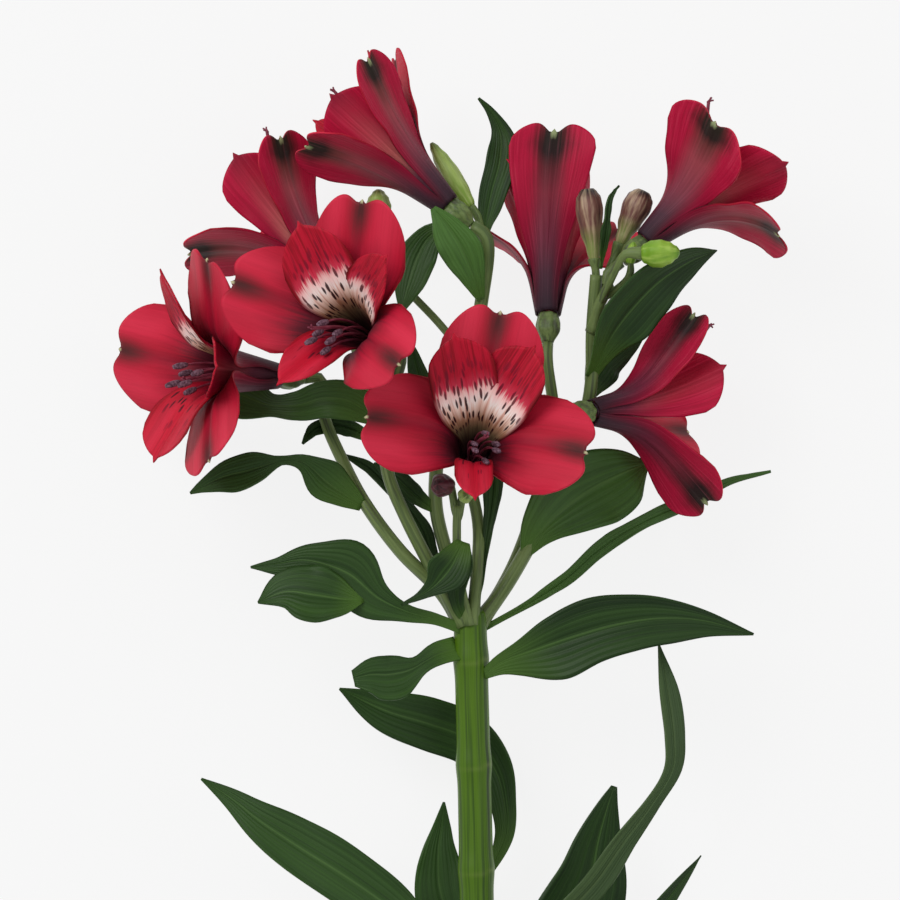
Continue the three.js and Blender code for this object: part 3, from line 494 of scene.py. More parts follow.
@dataclass(frozen=True)
class PetalOutside:
    """Fresh petal, lower face: crimson margins beside a broad dull band over the midrib.

    The tissue over the midrib keeps some green, so the band reads as greyish mauve-brown and
    turns to dusky purple in the tube, and outer petals end in a green-black mark.
    """

    kind: TepalKind
    roughness: float = 0.48

    def rows(self) -> list[Row]:
        """Returns the material's rows."""
        outer = self.kind is TepalKind.OUTER
        dull = (
            ((0.0, "#332630"), (0.2, "#4c303c"), (0.4, "#883f4c"), (0.65, "#a24a52"),
             (0.80, "#7a3e3c"), (0.88, "#2c2420"), (1.0, "#2a2a20"))
            if outer else
            ((0.0, "#332630"), (0.25, "#643846"), (0.42, "#c06a62"), (0.6, "#c4525c"),
             (0.85, "#b52a44"), (1.0, "#8c1c34"))
        )
        bright = (
            ((0.0, "#332630"), (0.2, "#4c2636"), (0.4, "#661d36"), (0.65, "#741a31"),
             (0.78, "#561927"), (0.87, "#2a191c"), (1.0, "#24211c"))
            if outer else
            ((0.0, "#332630"), (0.25, "#602238"), (0.42, "#9c2a42"), (0.6, "#a81c34"),
             (1.0, "#a41c36"))
        )
        width = ((0.0, 1.0), (0.3, 0.75), (0.55, 0.54), (0.78, 0.42), (0.90, 0.56), (1.0, 0.40))
        return [
            *sheet_rows((38.0, 1.6, 1.0)),
            ("dull", "ValToRGB", {"stops": dull}, {"Fac": "place.Y"}),
            ("bright", "ValToRGB", {"stops": bright}, {"Fac": "place.Y"}),
            ("dusk", "Attribute", {"attribute_name": MARK_LAYER}, {}),
            ("band_colour", "Mix", BLEND, {SHARE: "dusk.Fac", FIRST: "bright.Color",
                                           SECOND: "dull.Color"}),
            ("margin", "ValToRGB", {"stops": (
                (0.0, "#35141f"), (0.3, "#7c0f2f"), (0.6, "#a81137"), (1.0, "#ba163e"))},
             {"Fac": "place.Y"}),
            ("width", "ValToRGB", {"stops": width}, {"Fac": "place.Y"}),
            ("in_band", "Math", {"operation": "DIVIDE"}, {0: "across.Value", 1: "width.Color"}),
            ("rough_edge", "Math", TIMES_ADD, {0: "streaks.Fac", 1: 0.55, 2: "in_band.Value"}),
            *layer_rows("banded", "margin.Color", "band_colour.Result_Color", "rough_edge.Value",
                        1.6, 0.55, ease=SMOOTH),
            *layer_rows("overlaid", "banded.Result_Color", "#8a3448", "streaks.Fac", 0.60, 0.34, 0.3,
                        blend=TINT),
            *layer_rows("paled", "veined.Result_Color", "#cc6f80", "streaks.Fac", 0.57, 0.74, 0.13),
            *spot_rows("point", 12.0, 20.0, -19.9),
            *layer_rows("pointed", "paled.Result_Color", "#8f9a6e", "point_off.Value", 1.0, 0.4,
                        1.0 if outer else 0.0),
            ("bump", "Bump", {}, {"Height": "streaks.Fac", "Strength": 0.45, "Distance": 0.0003}),
            ("surface", "BsdfPrincipled", {}, {
                "Base Color": "pointed.Result_Color", "Roughness": self.roughness, "IOR": 1.4,
                "Specular IOR Level": 0.18, "Sheen Weight": 0.04, "Sheen Roughness": 0.5,
                "Sheen Tint": "#ff5068", "Normal": "bump.Normal"}),
        ]


@dataclass(frozen=True)
class LeafFace:
    """Fresh leaf blade with a thin waxy skin: satin green with fine parallel veins."""

    deep: str
    light: str
    vein: str
    neck: str
    fresh: str
    roughness: float
    vein_count: float = 11.0

    def rows(self) -> list[Row]:
        """Returns the material's rows."""
        return [
            *sheet_rows((26.0, 1.5, 1.0)),
            ("clouds", "TexNoise", {}, {"Vector": "fan.Vector", "Scale": 0.22, "Detail": 2.0}),
            *layer_rows("grown", self.deep, self.light, "clouds.Fac", 0.35, 0.68),
            ("young", "Attribute", {"attribute_name": MARK_LAYER}, {}),
            ("ground", "Mix", BLEND, {SHARE: "young.Fac", FIRST: "grown.Result_Color",
                                      SECOND: self.fresh}),
            ("vein_turn", "Math", TIMES, {0: "place.X", 1: self.vein_count * 2}),
            ("vein_wave", "Math", {"operation": "PINGPONG"}, {0: "vein_turn.Value", 1: 1.0}),
            ("vein_soft", "Math", TIMES_ADD, {0: "streaks.Fac", 1: 0.35, 2: "vein_wave.Value"}),
            *layer_rows("overlaid", "ground.Result_Color", self.vein, "vein_soft.Value", 0.30, 0.08,
                        0.38),
            *layer_rows("ribbed", "veined.Result_Color", self.vein, "across.Value", 0.06, 0.01,
                        0.55),
            *layer_rows("streaked", "ribbed.Result_Color", "#6d8268", "streaks.Fac", 0.6, 0.3, 0.4,
                        blend=TINT),
            *layer_rows("necked", "streaked.Result_Color", self.neck, "place.Y", 0.34, 0.02, 0.8,
                        ease=SMOOTH),
            ("relief", "Math", TIMES_ADD, {0: "vein_wave.Value", 1: 0.7, 2: "streaks.Fac"}),
            ("bump", "Bump", {}, {"Height": "relief.Value", "Strength": 0.4, "Distance": 0.0003}),
            ("surface", "BsdfPrincipled", {}, {
                "Base Color": "necked.Result_Color", "Roughness": self.roughness, "IOR": 1.42,
                "Specular IOR Level": 0.26, "Normal": "bump.Normal"}),
        ]


LEAF_TOP = LeafFace(deep="#1c3315", light="#2d491d", vein="#527239", neck="#4b6c28",
                    fresh="#56803a", roughness=0.46)
LEAF_UNDER = LeafFace(deep="#3a4f2e", light="#4b6139", vein="#6c8256", neck="#577634",
                      fresh="#6b8c48", roughness=0.58)


@dataclass(frozen=True)
class StalkFinish:
    """Fresh stem: waxy green skin over fibres that show as fine lengthwise streaks."""

    deep: str
    light: str
    edge: str
    streaks_round: float
    roughness: float = 0.42

    def rows(self) -> list[Row]:
        """Returns the material's rows; the mark layer pales the leaf nodes."""
        return [
            *sheet_rows((self.streaks_round, 3.0, 1.0)),
            ("ground", "ValToRGB", {"stops": (
                (0.32, self.edge), (0.42, self.deep), (0.56, self.light), (0.72, self.deep))},
             {"Fac": "streaks.Fac"}),
            ("blotch", "TexNoise", {}, {"Vector": "fan.Vector", "Scale": 0.35, "Detail": 2.0}),
            *layer_rows("blotched", "ground.Color", self.light, "blotch.Fac", 0.45, 0.7, 0.6),
            ("node", "Attribute", {"attribute_name": MARK_LAYER}, {}),
            ("noded", "Mix", BLEND, {SHARE: "node.Fac", FIRST: "blotched.Result_Color",
                                     SECOND: "#7f8f4c"}),
            ("bump", "Bump", {}, {"Height": "streaks.Fac", "Strength": 0.4, "Distance": 0.0003}),
            ("surface", "BsdfPrincipled", {}, {
                "Base Color": "noded.Result_Color", "Roughness": self.roughness, "IOR": 1.42,
                "Specular IOR Level": 0.32, "Normal": "bump.Normal"}),
        ]


STEM_SKIN = StalkFinish(deep="#2e4b0c", light="#4d6f12", edge="#20360c", streaks_round=22.0)
STALK_SKIN = StalkFinish(deep="#4d5f36", light="#6d7f4a", edge="#48463a", streaks_round=9.0)


@dataclass(frozen=True)
class CutFace:
    """Freshly cut stem: pale wet pith, with cells of about 0.6 mm, inside a green rind."""

    CELLS = 1600.0

    def rows(self) -> list[Row]:
        """Returns the material's rows."""
        return [
            ("at", "TexCoord", {}, {}),
            ("spots", "TexVoronoi", {}, {"Vector": "at.Object", "Scale": self.CELLS}),
            ("pith", "ValToRGB", {"stops": ((0.0, "#8fa865"), (0.5, "#c3cf9a"))},
             {"Fac": "spots.Distance"}),
            ("uv", "UVMap", {"uv_map": UV_LAYER}, {}),
            ("place", "SeparateXYZ", {}, {"Vector": "uv.UV"}),
            *layer_rows("rinded", "pith.Color", "#5c7a2e", "place.Y", 0.78 / STEM_RINGS,
                        0.9 / STEM_RINGS, 0.85),
            ("bump", "Bump", {}, {"Height": "spots.Distance", "Strength": 0.4, "Distance": 0.0002}),
            ("surface", "BsdfPrincipled", {}, {
                "Base Color": "rinded.Result_Color", "Roughness": 0.35, "IOR": 1.4,
                "Normal": "bump.Normal"}),
        ]


@dataclass(frozen=True)
class BudFinish:
    """Unopened bud: tight ribbed petals, green at the foot and coloured or dark at the tip."""

    foot: str
    body: str
    rib: str
    tip: str
    roughness: float = 0.45

    def rows(self) -> list[Row]:
        """Returns the material's rows."""
        return [
            *sheet_rows((14.0, 1.6, 1.0)),
            ("ground", "ValToRGB", {"stops": (
                (0.0, self.foot), (0.25, self.foot), (0.5, self.body), (0.8, self.body),
                (0.93, self.tip), (1.0, self.tip))}, {"Fac": "place.Y"}),
            *layer_rows("ribbed", "ground.Color", self.rib, "streaks.Fac", 0.46, 0.68, 0.75),
            ("seam", "Attribute", {"attribute_name": MARK_LAYER}, {}),
            ("seamed", "Mix", BLEND, {SHARE: "seam.Fac", FIRST: "ribbed.Result_Color",
                                      SECOND: self.tip}),
            ("bump", "Bump", {}, {"Height": "streaks.Fac", "Strength": 0.5, "Distance": 0.0003}),
            ("surface", "BsdfPrincipled", {}, {
                "Base Color": "seamed.Result_Color", "Roughness": self.roughness, "IOR": 1.42,
                "Specular IOR Level": 0.4, "Normal": "bump.Normal"}),
        ]


GREEN_BUD = BudFinish(foot="#7d9a3c", body="#8ea552", rib="#b4c27c", tip="#5c6a34")
LIME_BUD = BudFinish(foot="#6f9a24", body="#86ab3a", rib="#a9c65c", tip="#5f8a24")
PINK_BUD = BudFinish(foot="#7d8a4a", body="#714a42", rib="#c8b090", tip="#1f1518")
MAROON_BUD = BudFinish(foot="#5b5a3a", body="#4a1d26", rib="#6d323c", tip="#2c1418")


@dataclass(frozen=True)
class StamenFinish:
    """Stamens and style: smooth thin threads, dull dusky anthers with a paler seam."""

    body: str
    pale: str
    roughness: float = 0.55

    def rows(self) -> list[Row]:
        """Returns the material's rows."""
        return [
            *sheet_rows((6.0, 8.0, 1.0)),
            *layer_rows("colour", self.body, self.pale, "streaks.Fac", 0.42, 0.68),
            ("bump", "Bump", {}, {"Height": "streaks.Fac", "Strength": 0.2, "Distance": 0.00004}),
            ("surface", "BsdfPrincipled", {}, {
                "Base Color": "colour.Result_Color", "Roughness": self.roughness, "IOR": 1.4,
                "Normal": "bump.Normal"}),
        ]


FILAMENT = StamenFinish(body="#6d2034", pale="#8f4256")
ANTHER = StamenFinish(body="#4c2f3e", pale="#8a6c7c", roughness=0.7)


@dataclass(frozen=True)
class FloorFinish:
    """Opal sheet lit from behind: pale, matt and even, so that shadows on it stay faint."""

    def rows(self) -> list[Row]:
        """Returns the material's rows."""
        return [
            ("at", "TexCoord", {}, {}),
            ("tooth", "TexNoise", {}, {"Vector": "at.Object", "Scale": 900.0}),
            ("bump", "Bump", {}, {"Height": "tooth.Fac", "Strength": 0.05, "Distance": 0.0001}),
            ("surface", "BsdfPrincipled", {}, {
                "Base Color": "#535353", "Roughness": 0.9, "Specular IOR Level": 0.0,
                "Emission Color": "#ffffff", "Emission Strength": 0.85,
                "Normal": "bump.Normal"}),
        ]


class Finish(Enum):
    """Every finish; its material is named after it, in small letters."""

    OUTER_INSIDE = PetalInside(TepalKind.OUTER)
    OUTER_OUTSIDE = PetalOutside(TepalKind.OUTER)
    INNER_INSIDE = PetalInside(TepalKind.INNER, veins=0.55, rim=0.85, clouds=0.1, painted_highlight=0)
    INNER_OUTSIDE = PetalOutside(TepalKind.INNER)
    LOWER_INSIDE = PetalInside(TepalKind.LOWER_INNER, veins=0.35, rim=0.6)
    LOWER_OUTSIDE = PetalOutside(TepalKind.LOWER_INNER)
    LEAF_TOP = LEAF_TOP
    LEAF_UNDER = LEAF_UNDER
    STEM_SKIN = STEM_SKIN
    STALK_SKIN = STALK_SKIN
    CUT_FACE = CutFace()
    GREEN_BUD = GREEN_BUD
    LIME_BUD = LIME_BUD
    PINK_BUD = PINK_BUD
    MAROON_BUD = MAROON_BUD
    FILAMENT = FILAMENT
    ANTHER = ANTHER
    FLOOR = FloorFinish()

    def material(self) -> bpy.types.Material:
        """Returns this finish's material, made at its first use."""
        name = self.name.lower()
        return bpy.data.materials.get(name) or make_material(name, self.value.rows())


# ---- Meshes ------------------------------------------------------------------------------


@dataclass
class Tube:
    """A closed tube along a curve. `girth` gives its radius at a place and angle."""

    curve: Curve
    girth: Callable[[float, float], float]
    rings: int = 24
    sides: int = 12
    start_normal: Point = (0.3, 0.2, 1.0)
    frames: list[tuple[Vector, Vector]] = field(init=False)

    def __post_init__(self) -> None:
        """Carries the first normal along the curve without twisting it."""
        normal = Vector(self.start_normal)
        self.frames = []
        for i in range(self.rings + 1):
            tangent = self.curve.tangent(i / self.rings, 0.01)
            normal = (normal - tangent * normal.dot(tangent)).normalized()
            self.frames.append((normal.copy(), tangent.cross(normal)))

    def point(self, u: float, v: float) -> Vector:
        """Places a point of the wall.

        Args:
            u: The share of the way along, 0 to 1.
            v: The share of the way round, -1 to 1.

        Returns:
            The point, on the curve itself at the two ends so that they close.
        """
        row = min(max(round(u * self.rings), 0), self.rings)
        normal, binormal = self.frames[row]
        angle = v * math.pi
        radius = 0.0 if row in (0, self.rings) else self.girth(u, angle)
        if row == 0:
            u = 1 / self.rings
        if row == self.rings:
            u = 1 - 1 / self.rings
        centre = self.curve.at(u)
        return centre + normal * (radius * math.cos(angle)) + binormal * (radius * math.sin(angle))


class Piece:
    """One finished object: blades and tubes gathered in a mesh, then moved to the row frame.

    A tube's cap is its faces within CAP_RINGS rings of its first end. Corners of a tube that
    lie nearer than WELD are joined.
    """

    CAP_RINGS = 1.25
    WELD = 1e-4

    def __init__(self, name: str, finishes: Sequence[Finish], thickness: float = 0.0) -> None:
        """Starts an empty piece.

        Args:
            name: The object's name.
            finishes: Its finishes. A blade's far side takes the finish after its own.
            thickness: The thickness of its blades in millimetres, or 0 if it has none.
        """
        self.name = name
        self.finishes = finishes
        self.thickness = thickness
        self.mesh = bmesh.new()
        self.mesh.loops.layers.uv.new(UV_LAYER)
        self.seed = self.mesh.verts.layers.float.new(SEED_LAYER)
        self.mark = self.mesh.verts.layers.float.new(MARK_LAYER)

    def _grid(
        self, rows: int, columns: int
    ) -> tuple[list[bmesh.types.BMVert], set[bmesh.types.BMFace]]:
        """Adds a flat grid from -1 to 1 with its own UV map.

        Args:
            rows: How many faces it has along y.
            columns: How many faces it has along x.

        Returns:
            Its vertices and its faces.
        """
        made = bmesh.ops.create_grid(self.mesh, x_segments=columns, y_segments=rows, size=1.0,
                                     calc_uvs=True)
        verts = made["verts"]
        return verts, {face for vert in verts for face in vert.link_faces}

    def blade(self, surface: Surface, rows: int, columns: int, finish: Finish,
              seed: float, flip: bool = False, mark: float = 0.0) -> None:
        """Adds a thin blade.

        Args:
            surface: Gives a point from the share along, 0 to 1, and across, -1 to 1.
            rows: How many faces it has along.
            columns: How many faces it has across.
            finish: The finish of its near side.
            seed: The value that shifts its pattern.
            flip: Whether its near side is the one turned away.
            mark: The strength of its markings.
        """
        verts, faces = self._grid(rows, columns)
        slot = self.finishes.index(finish)
        for face in faces:
            face.material_index = slot
        for vert in verts:
            x, y = vert.co.x, vert.co.y
            vert.co = surface((y + 1) / 2, x)
            vert[self.seed] = seed
            vert[self.mark] = mark
        if flip:
            bmesh.ops.reverse_faces(self.mesh, faces=list(faces))

    def tube(self, tube: Tube, finish: Finish, seed: float,
             mark: Callable[[float, float], float] | None = None,
             cap: Finish | None = None) -> None:
        """Adds a closed tube.

        Args:
            tube: The tube.
            finish: Its finish.
            seed: The value that shifts its pattern.
            mark: Gives the strength of its markings at a place and angle.
            cap: The finish of its first end, where that is another.
        """
        verts, faces = self._grid(tube.rings, tube.sides)
        slot = self.finishes.index(finish)
        first = self.finishes.index(cap or finish)
        cap_edge = -1 + 2 * self.CAP_RINGS / tube.rings
        for face in faces:
            in_cap = all(vert.co.y < cap_edge for vert in face.verts)
            face.material_index = first if in_cap else slot
        for vert in verts:
            u, v = (vert.co.y + 1) / 2, vert.co.x
            vert.co = tube.point(u, v)
            vert[self.seed] = seed
            vert[self.mark] = mark(u, v * math.pi) if mark else 0.0
        bmesh.ops.remove_doubles(self.mesh, verts=verts, dist=self.WELD)
        closed = [face for face in self.mesh.faces if face in faces]
        bmesh.ops.recalc_face_normals(self.mesh, faces=closed)

    def finish(self, slot: str, *nodes: str) -> None:
        """Moves the mesh to the row frame, dresses it and puts it in the frame.

        Args:
            slot: The piece's material slot. It is not used.
            nodes: The nodes that it stands for.
        """
        bmesh.ops.transform(self.mesh, matrix=PLANT_TO_ROW, verts=self.mesh.verts)
        lowest = self.thickness * MM / 2
        for vert in self.mesh.verts:
            vert.co.z = max(vert.co.z, lowest)
        for face in self.mesh.faces:
            face.smooth = True
        data = bpy.data.meshes.new(self.name)
        self.mesh.to_mesh(data)
        self.mesh.free()
        piece = bpy.data.objects.new(self.name, data)
        bpy.context.scene.collection.objects.link(piece)
        for finish in self.finishes:
            data.materials.append(finish.material())
        if self.thickness:
            wall = piece.modifiers.new("thickness", "SOLIDIFY")
            wall.thickness = self.thickness * MM
            wall.offset = 0.0
            wall.material_offset = 1
            wall.material_offset_rim = 0
        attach(piece, BODY)
        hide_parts(*nodes)
        log.info("%s: %d faces, for %s", self.name, len(data.polygons), ", ".join(nodes))


# ---- Blooms ------------------------------------------------------------------------------


@dataclass(frozen=True)
class Tepal:
    """One petal of a bloom: a narrow claw in the tube and a blade that leans outwards.

    Places and leans are in degrees; `place` is counted round the bloom's axis from its up
    direction, clockwise as one looks into the flower. The midrib is worked out in STEPS, and
    BEYOND more past the end for the small point in the notch, which stands TIP_POINT out.
    """

    place: float
    kind: TepalKind = TepalKind.OUTER
    length: float = 49
    half_width: float = 14.2
    claw: float = 3.3
    root_radius: float = 3.2
    shoulder: float = 18
    notch: float = 3.5
    pointed: float = 0
    tube: float = 9
    open: float = 70
    opens_from: float = 0.28
    opens_to: float = 0.62
    spreads_from: float = 0.12
    spreads_to: float = 0.7
    cup: float = -0.25
    ruffle: float = 0.07
    sway: float = 0
    roll: float = 0
    curl: float = 0
    curls_from: float = 0.7
    crease: float = 0.5
    crinkle: float = 0.22

    STEPS = 40
    BEYOND = 4
    TIP_POINT = 1.3
    RUFFLES = 7
    CRINKLES = 26

    def midline(self) -> Callable[[float], tuple[float, float, float]]:
        """Returns the height, radius and lean of the midrib as a function of the share along."""
        line = []
        height = 1.0
        radius = self.root_radius
        for i in range(self.STEPS + self.BEYOND + 1):
            s = i / self.STEPS
            opening = smoothstep(s, self.opens_from, self.opens_to)
            curl = self.curl * smoothstep(s, self.curls_from, 1.05)
            lean = math.radians(lerp(self.tube, self.open, opening) + curl)
            line.append((height, radius, lean))
            height += math.cos(lean) * self.length / self.STEPS
            radius += math.sin(lean) * self.length / self.STEPS

        def at(s: float) -> tuple[float, float, float]:
            """Returns the height, radius and lean a share s of the way along."""
            place = min(max(s * self.STEPS, 0), self.STEPS + self.BEYOND - 0.001)
            i = int(place)
            share = place - i
            return tuple(lerp(a, b, share) for a, b in zip(line[i], line[i + 1]))

        return at

    def surface(self, bloom: "Bloom", seed: float) -> Surface:
        """Gives the petal's surface.

        Args:
            bloom: The bloom that it grows in.
            seed: The value that sets its crinkles apart from its neighbours'.

        Returns:
            The surface, from the share along, 0 to 1, and across, -1 to 1.
        """
        midline = self.midline()
        phase = RIPPLE_TURN * scatter(seed, 3)

        def point(u: float, v: float) -> Vector:
            """Returns the point at a share u along and v across."""
            w = min(abs(v), 1.0)
            end = lerp(1 - math.sqrt(1 - w * w), w**1.2, self.pointed) * self.shoulder
            notch = self.notch * hump(v, 0, 0.25) - self.TIP_POINT * hump(v, 0, 0.045)
            s = u * (1 - (end + notch) / self.length)
            height, radius, lean = midline(s)
            spread = smoothstep(s, self.spreads_from, self.spreads_to)
            half_width = lerp(self.claw, self.half_width, spread)
            leaves = smoothstep(s, 0.2, 0.6)
            bend = lerp(1 / radius, self.cup / self.half_width, leaves) + 1e-6
            x = v * half_width
            lateral = math.sin(x * bend) / bend
            lift = (1 - math.cos(x * bend)) / bend
            wave = math.sin(self.RUFFLES * s + 2 * v)
            lift += self.ruffle * half_width * v * v * leaves * wave
            edge = leaves * v**4
            lift += self.crinkle * edge * math.sin(self.CRINKLES * s + phase + 3 * v)
            lift -= self.crease * hump(v, 0, 0.10) * smoothstep(s, 0.25, 0.5)
            roll = math.radians(self.roll) * leaves
            place = math.radians(self.place + self.sway * s)
            out = bloom.outward(place)
            side = bloom.outward(place + math.pi / 2)
            inwards = bloom.along * math.sin(lean) - out * math.cos(lean)
            at = bloom.on_axis(height) + out * radius
            at += side * (lateral * math.cos(roll) - lift * math.sin(roll))
            return at + inwards * (lift * math.cos(roll) + lateral * math.sin(roll))

        return point


def outer(place: float, **changes: float) -> Tepal:
    """Returns a broad notched outer petal at a place, with its changes."""
    return replace(Tepal(place), **changes)


def inner(place: float, **changes: float) -> Tepal:
    """Returns a narrow pointed inner petal at a place, with its changes."""
    usual = Tepal(place, kind=TepalKind.INNER, length=44, half_width=8, claw=2.6,
                  root_radius=2.4, shoulder=13, notch=0, pointed=0.3, open=58, opens_from=0.36,
                  opens_to=0.74, spreads_from=0.2, cup=0.3, ruffle=0.04)
    return replace(usual, **changes)


def lower_inner(place: float, **changes: float) -> Tepal:
    """Returns the inner petal that hangs lowest, with its changes."""
    usual = replace(inner(place), kind=TepalKind.LOWER_INNER, length=42, half_width=6.5,
                    spreads_from=0.15, open=40, cup=0.4)
    return replace(usual, **changes)


FUNNEL = {"tube": 11, "opens_from": 0.12, "opens_to": 0.85, "spreads_from": 0.05,
          "spreads_to": 0.92, "shoulder": 13}


def funnel_outer(place: float, **changes: float) -> Tepal:
    """Returns an outer petal of a bloom that is still a funnel, with its changes."""
    return outer(place, **{**FUNNEL, **changes})


def funnel_inner(place: float, **changes: float) -> Tepal:
    """Returns an inner petal of a bloom that is still a funnel, with its changes."""
    return inner(place, **{**FUNNEL, "opens_from": 0.2, "half_width": 6.5, **changes})


@dataclass
class Bloom:
    """An open flower: six petals on a receptacle, six stamens, a style and its ovary.

    `dusk` is how dull and greenish the bands on the backs of its petals are, 0 to 1. `lean` is
    how far the ends of its stamens are drawn aside, and `style` is where the style ends, if
    that isn't STYLE_REACH up the axis. A stamen's anther runs through ANTHER_PLACES, as shares
    of the stamen's length.
    """

    number: int
    at: Point
    axis: Point
    up: Point
    dusk: float
    tepals: list[Tepal]
    lean: Point = (0, 0, 0)
    style: Point | None = None

    ROWS = {TepalKind.OUTER: 52, TepalKind.INNER: 44, TepalKind.LOWER_INNER: 40}
    COLUMNS = {TepalKind.OUTER: 36, TepalKind.INNER: 22, TepalKind.LOWER_INNER: 18}
    SIDES = {
        TepalKind.OUTER: Finish.OUTER_INSIDE,
        TepalKind.INNER: Finish.INNER_INSIDE,
        TepalKind.LOWER_INNER: Finish.LOWER_INSIDE,
    }
    DISC_RADIUS = 2.2
    SHORT_REACH = 27
    LONG_REACH = 31
    STAMEN_RING = 0.9
    STAMEN_SPREAD = 2.4
    FILAMENT_RADIUS = 0.42
    ANTHER_PLACES = (0.83, 0.92, 1.0)
    STYLE_REACH = 38
    STYLE_RADIUS = 0.55
    BRANCH_RADIUS = 0.32

    def __post_init__(self) -> None:
        """Sets the bloom's axis and its two cross directions."""
        self.along = Vector(self.axis).normalized()
        up = Vector(self.up)
        self.upward = (up - self.along * up.dot(self.along)).normalized()
        self.right = self.upward.cross(self.along)

    def outward(self, angle: float) -> Vector:
        """Returns the direction out from the axis at an angle in radians."""
        return self.upward * math.cos(angle) + self.right * math.sin(angle)

    def on_axis(self, height: float) -> Vector:
        """Returns the point on the axis at a height above the ovary."""
        return Vector(self.at) + self.along * height

    def build_tepals(self) -> None:
        """Builds the six petals with the receptacle that they are rooted in."""
        piece = Piece(f"bloom_{self.number}_petals", [
            Finish.OUTER_INSIDE, Finish.OUTER_OUTSIDE, Finish.INNER_INSIDE,
            Finish.INNER_OUTSIDE, Finish.LOWER_INSIDE, Finish.LOWER_OUTSIDE], PETAL_THICKNESS)
        for i, tepal in enumerate(self.tepals):
            seed = self.number + 0.13 * i
            piece.blade(tepal.surface(self, seed), self.ROWS[tepal.kind],
                        self.COLUMNS[tepal.kind], self.SIDES[tepal.kind], seed,
                        mark=self.dusk)
        piece.finish("petal_red", f"bloom_{self.number}_tepals")

    def stamen(self, k: int) -> Curve:
        """Returns the line of stamen k, from the receptacle to the end of its anther."""
        base = RECEPTACLE_HEIGHT + 1.0
        reach = self.SHORT_REACH if k % 2 else self.LONG_REACH
        out = self.outward(k * math.pi / 3)
        lean = Vector(self.lean)
        return Curve([
            self.on_axis(base + s * reach)
            + out * (self.STAMEN_RING + self.STAMEN_SPREAD * s)
            + lean * s**3
            for s in (0, 0.25, 0.5, 0.75, 1)
        ])

    def add_stamens(self, piece: Piece) -> None:
        """Adds the six stamens, long and short by turns."""
        for k in range(6):
            line = self.stamen(k)
            seed = self.number + 0.07 * k
            thread = Tube(line, lambda u, a: self.FILAMENT_RADIUS * (1 - 0.4 * u), 22, 8)
            piece.tube(thread, Finish.FILAMENT, seed)
            pod = Curve([line.at(place) for place in self.ANTHER_PLACES])
            piece.tube(Tube(pod, self.anther_girth, 14, 12), Finish.ANTHER, seed)

    def add_style(self, piece: Piece) -> None:
        """Adds the style, bowed towards the bloom's axis, with its three-branched tip."""
        usual = self.on_axis(self.STYLE_REACH) + Vector(self.lean) * 0.8
        tip = Vector(self.style) if self.style else usual
        root = self.on_axis(RECEPTACLE_HEIGHT)
        bow = self.on_axis(RECEPTACLE_HEIGHT + 0.55 * (tip - root).length)
        end = tip + (tip - root).normalized()
        line = Curve([root, bow.lerp(root.lerp(tip, 0.55), 0.4), end])
        thread = Tube(line, lambda u, a: self.STYLE_RADIUS - 0.1 * u, 60, 8)
        piece.tube(thread, Finish.FILAMENT, self.number)
        for k in range(3):
            aside = self.outward(k * math.tau / 3 + 0.4)
            fork = Curve([tip - self.along * 0.5, tip + self.along * 1.1 + aside * 0.3,
                          tip + self.along * 1.9 + aside])
            branch = Tube(fork, lambda u, a: self.BRANCH_RADIUS - 0.1 * u, 6, 6)
            piece.tube(branch, Finish.FILAMENT, k)

    def build_stamens(self) -> None:
        """Builds the stamens and the style on their disc."""
        piece = Piece(f"bloom_{self.number}_stamens_fine", [Finish.FILAMENT, Finish.ANTHER])
        disc = Curve([self.on_axis(0.6), self.on_axis(RECEPTACLE_HEIGHT + 2.0)])
        piece.tube(Tube(disc, lambda u, a: self.DISC_RADIUS, 8, 12), Finish.FILAMENT,
                   self.number)
        self.add_stamens(piece)
        self.add_style(piece)
        piece.finish("stamen_maroon", f"bloom_{self.number}_stamens")

    @staticmethod
    def anther_girth(u: float, angle: float) -> float:
        """Returns an anther's radius: two plump lobes with a groove between them."""
        swell = math.sin(math.pi * min(max(u, 0.02), 0.98)) ** 0.4
        return swell * (0.56 + 0.3 * abs(math.sin(angle)))

    def build(self) -> None:
        """Builds the whole bloom."""
        self.build_tepals()
        self.build_stamens()


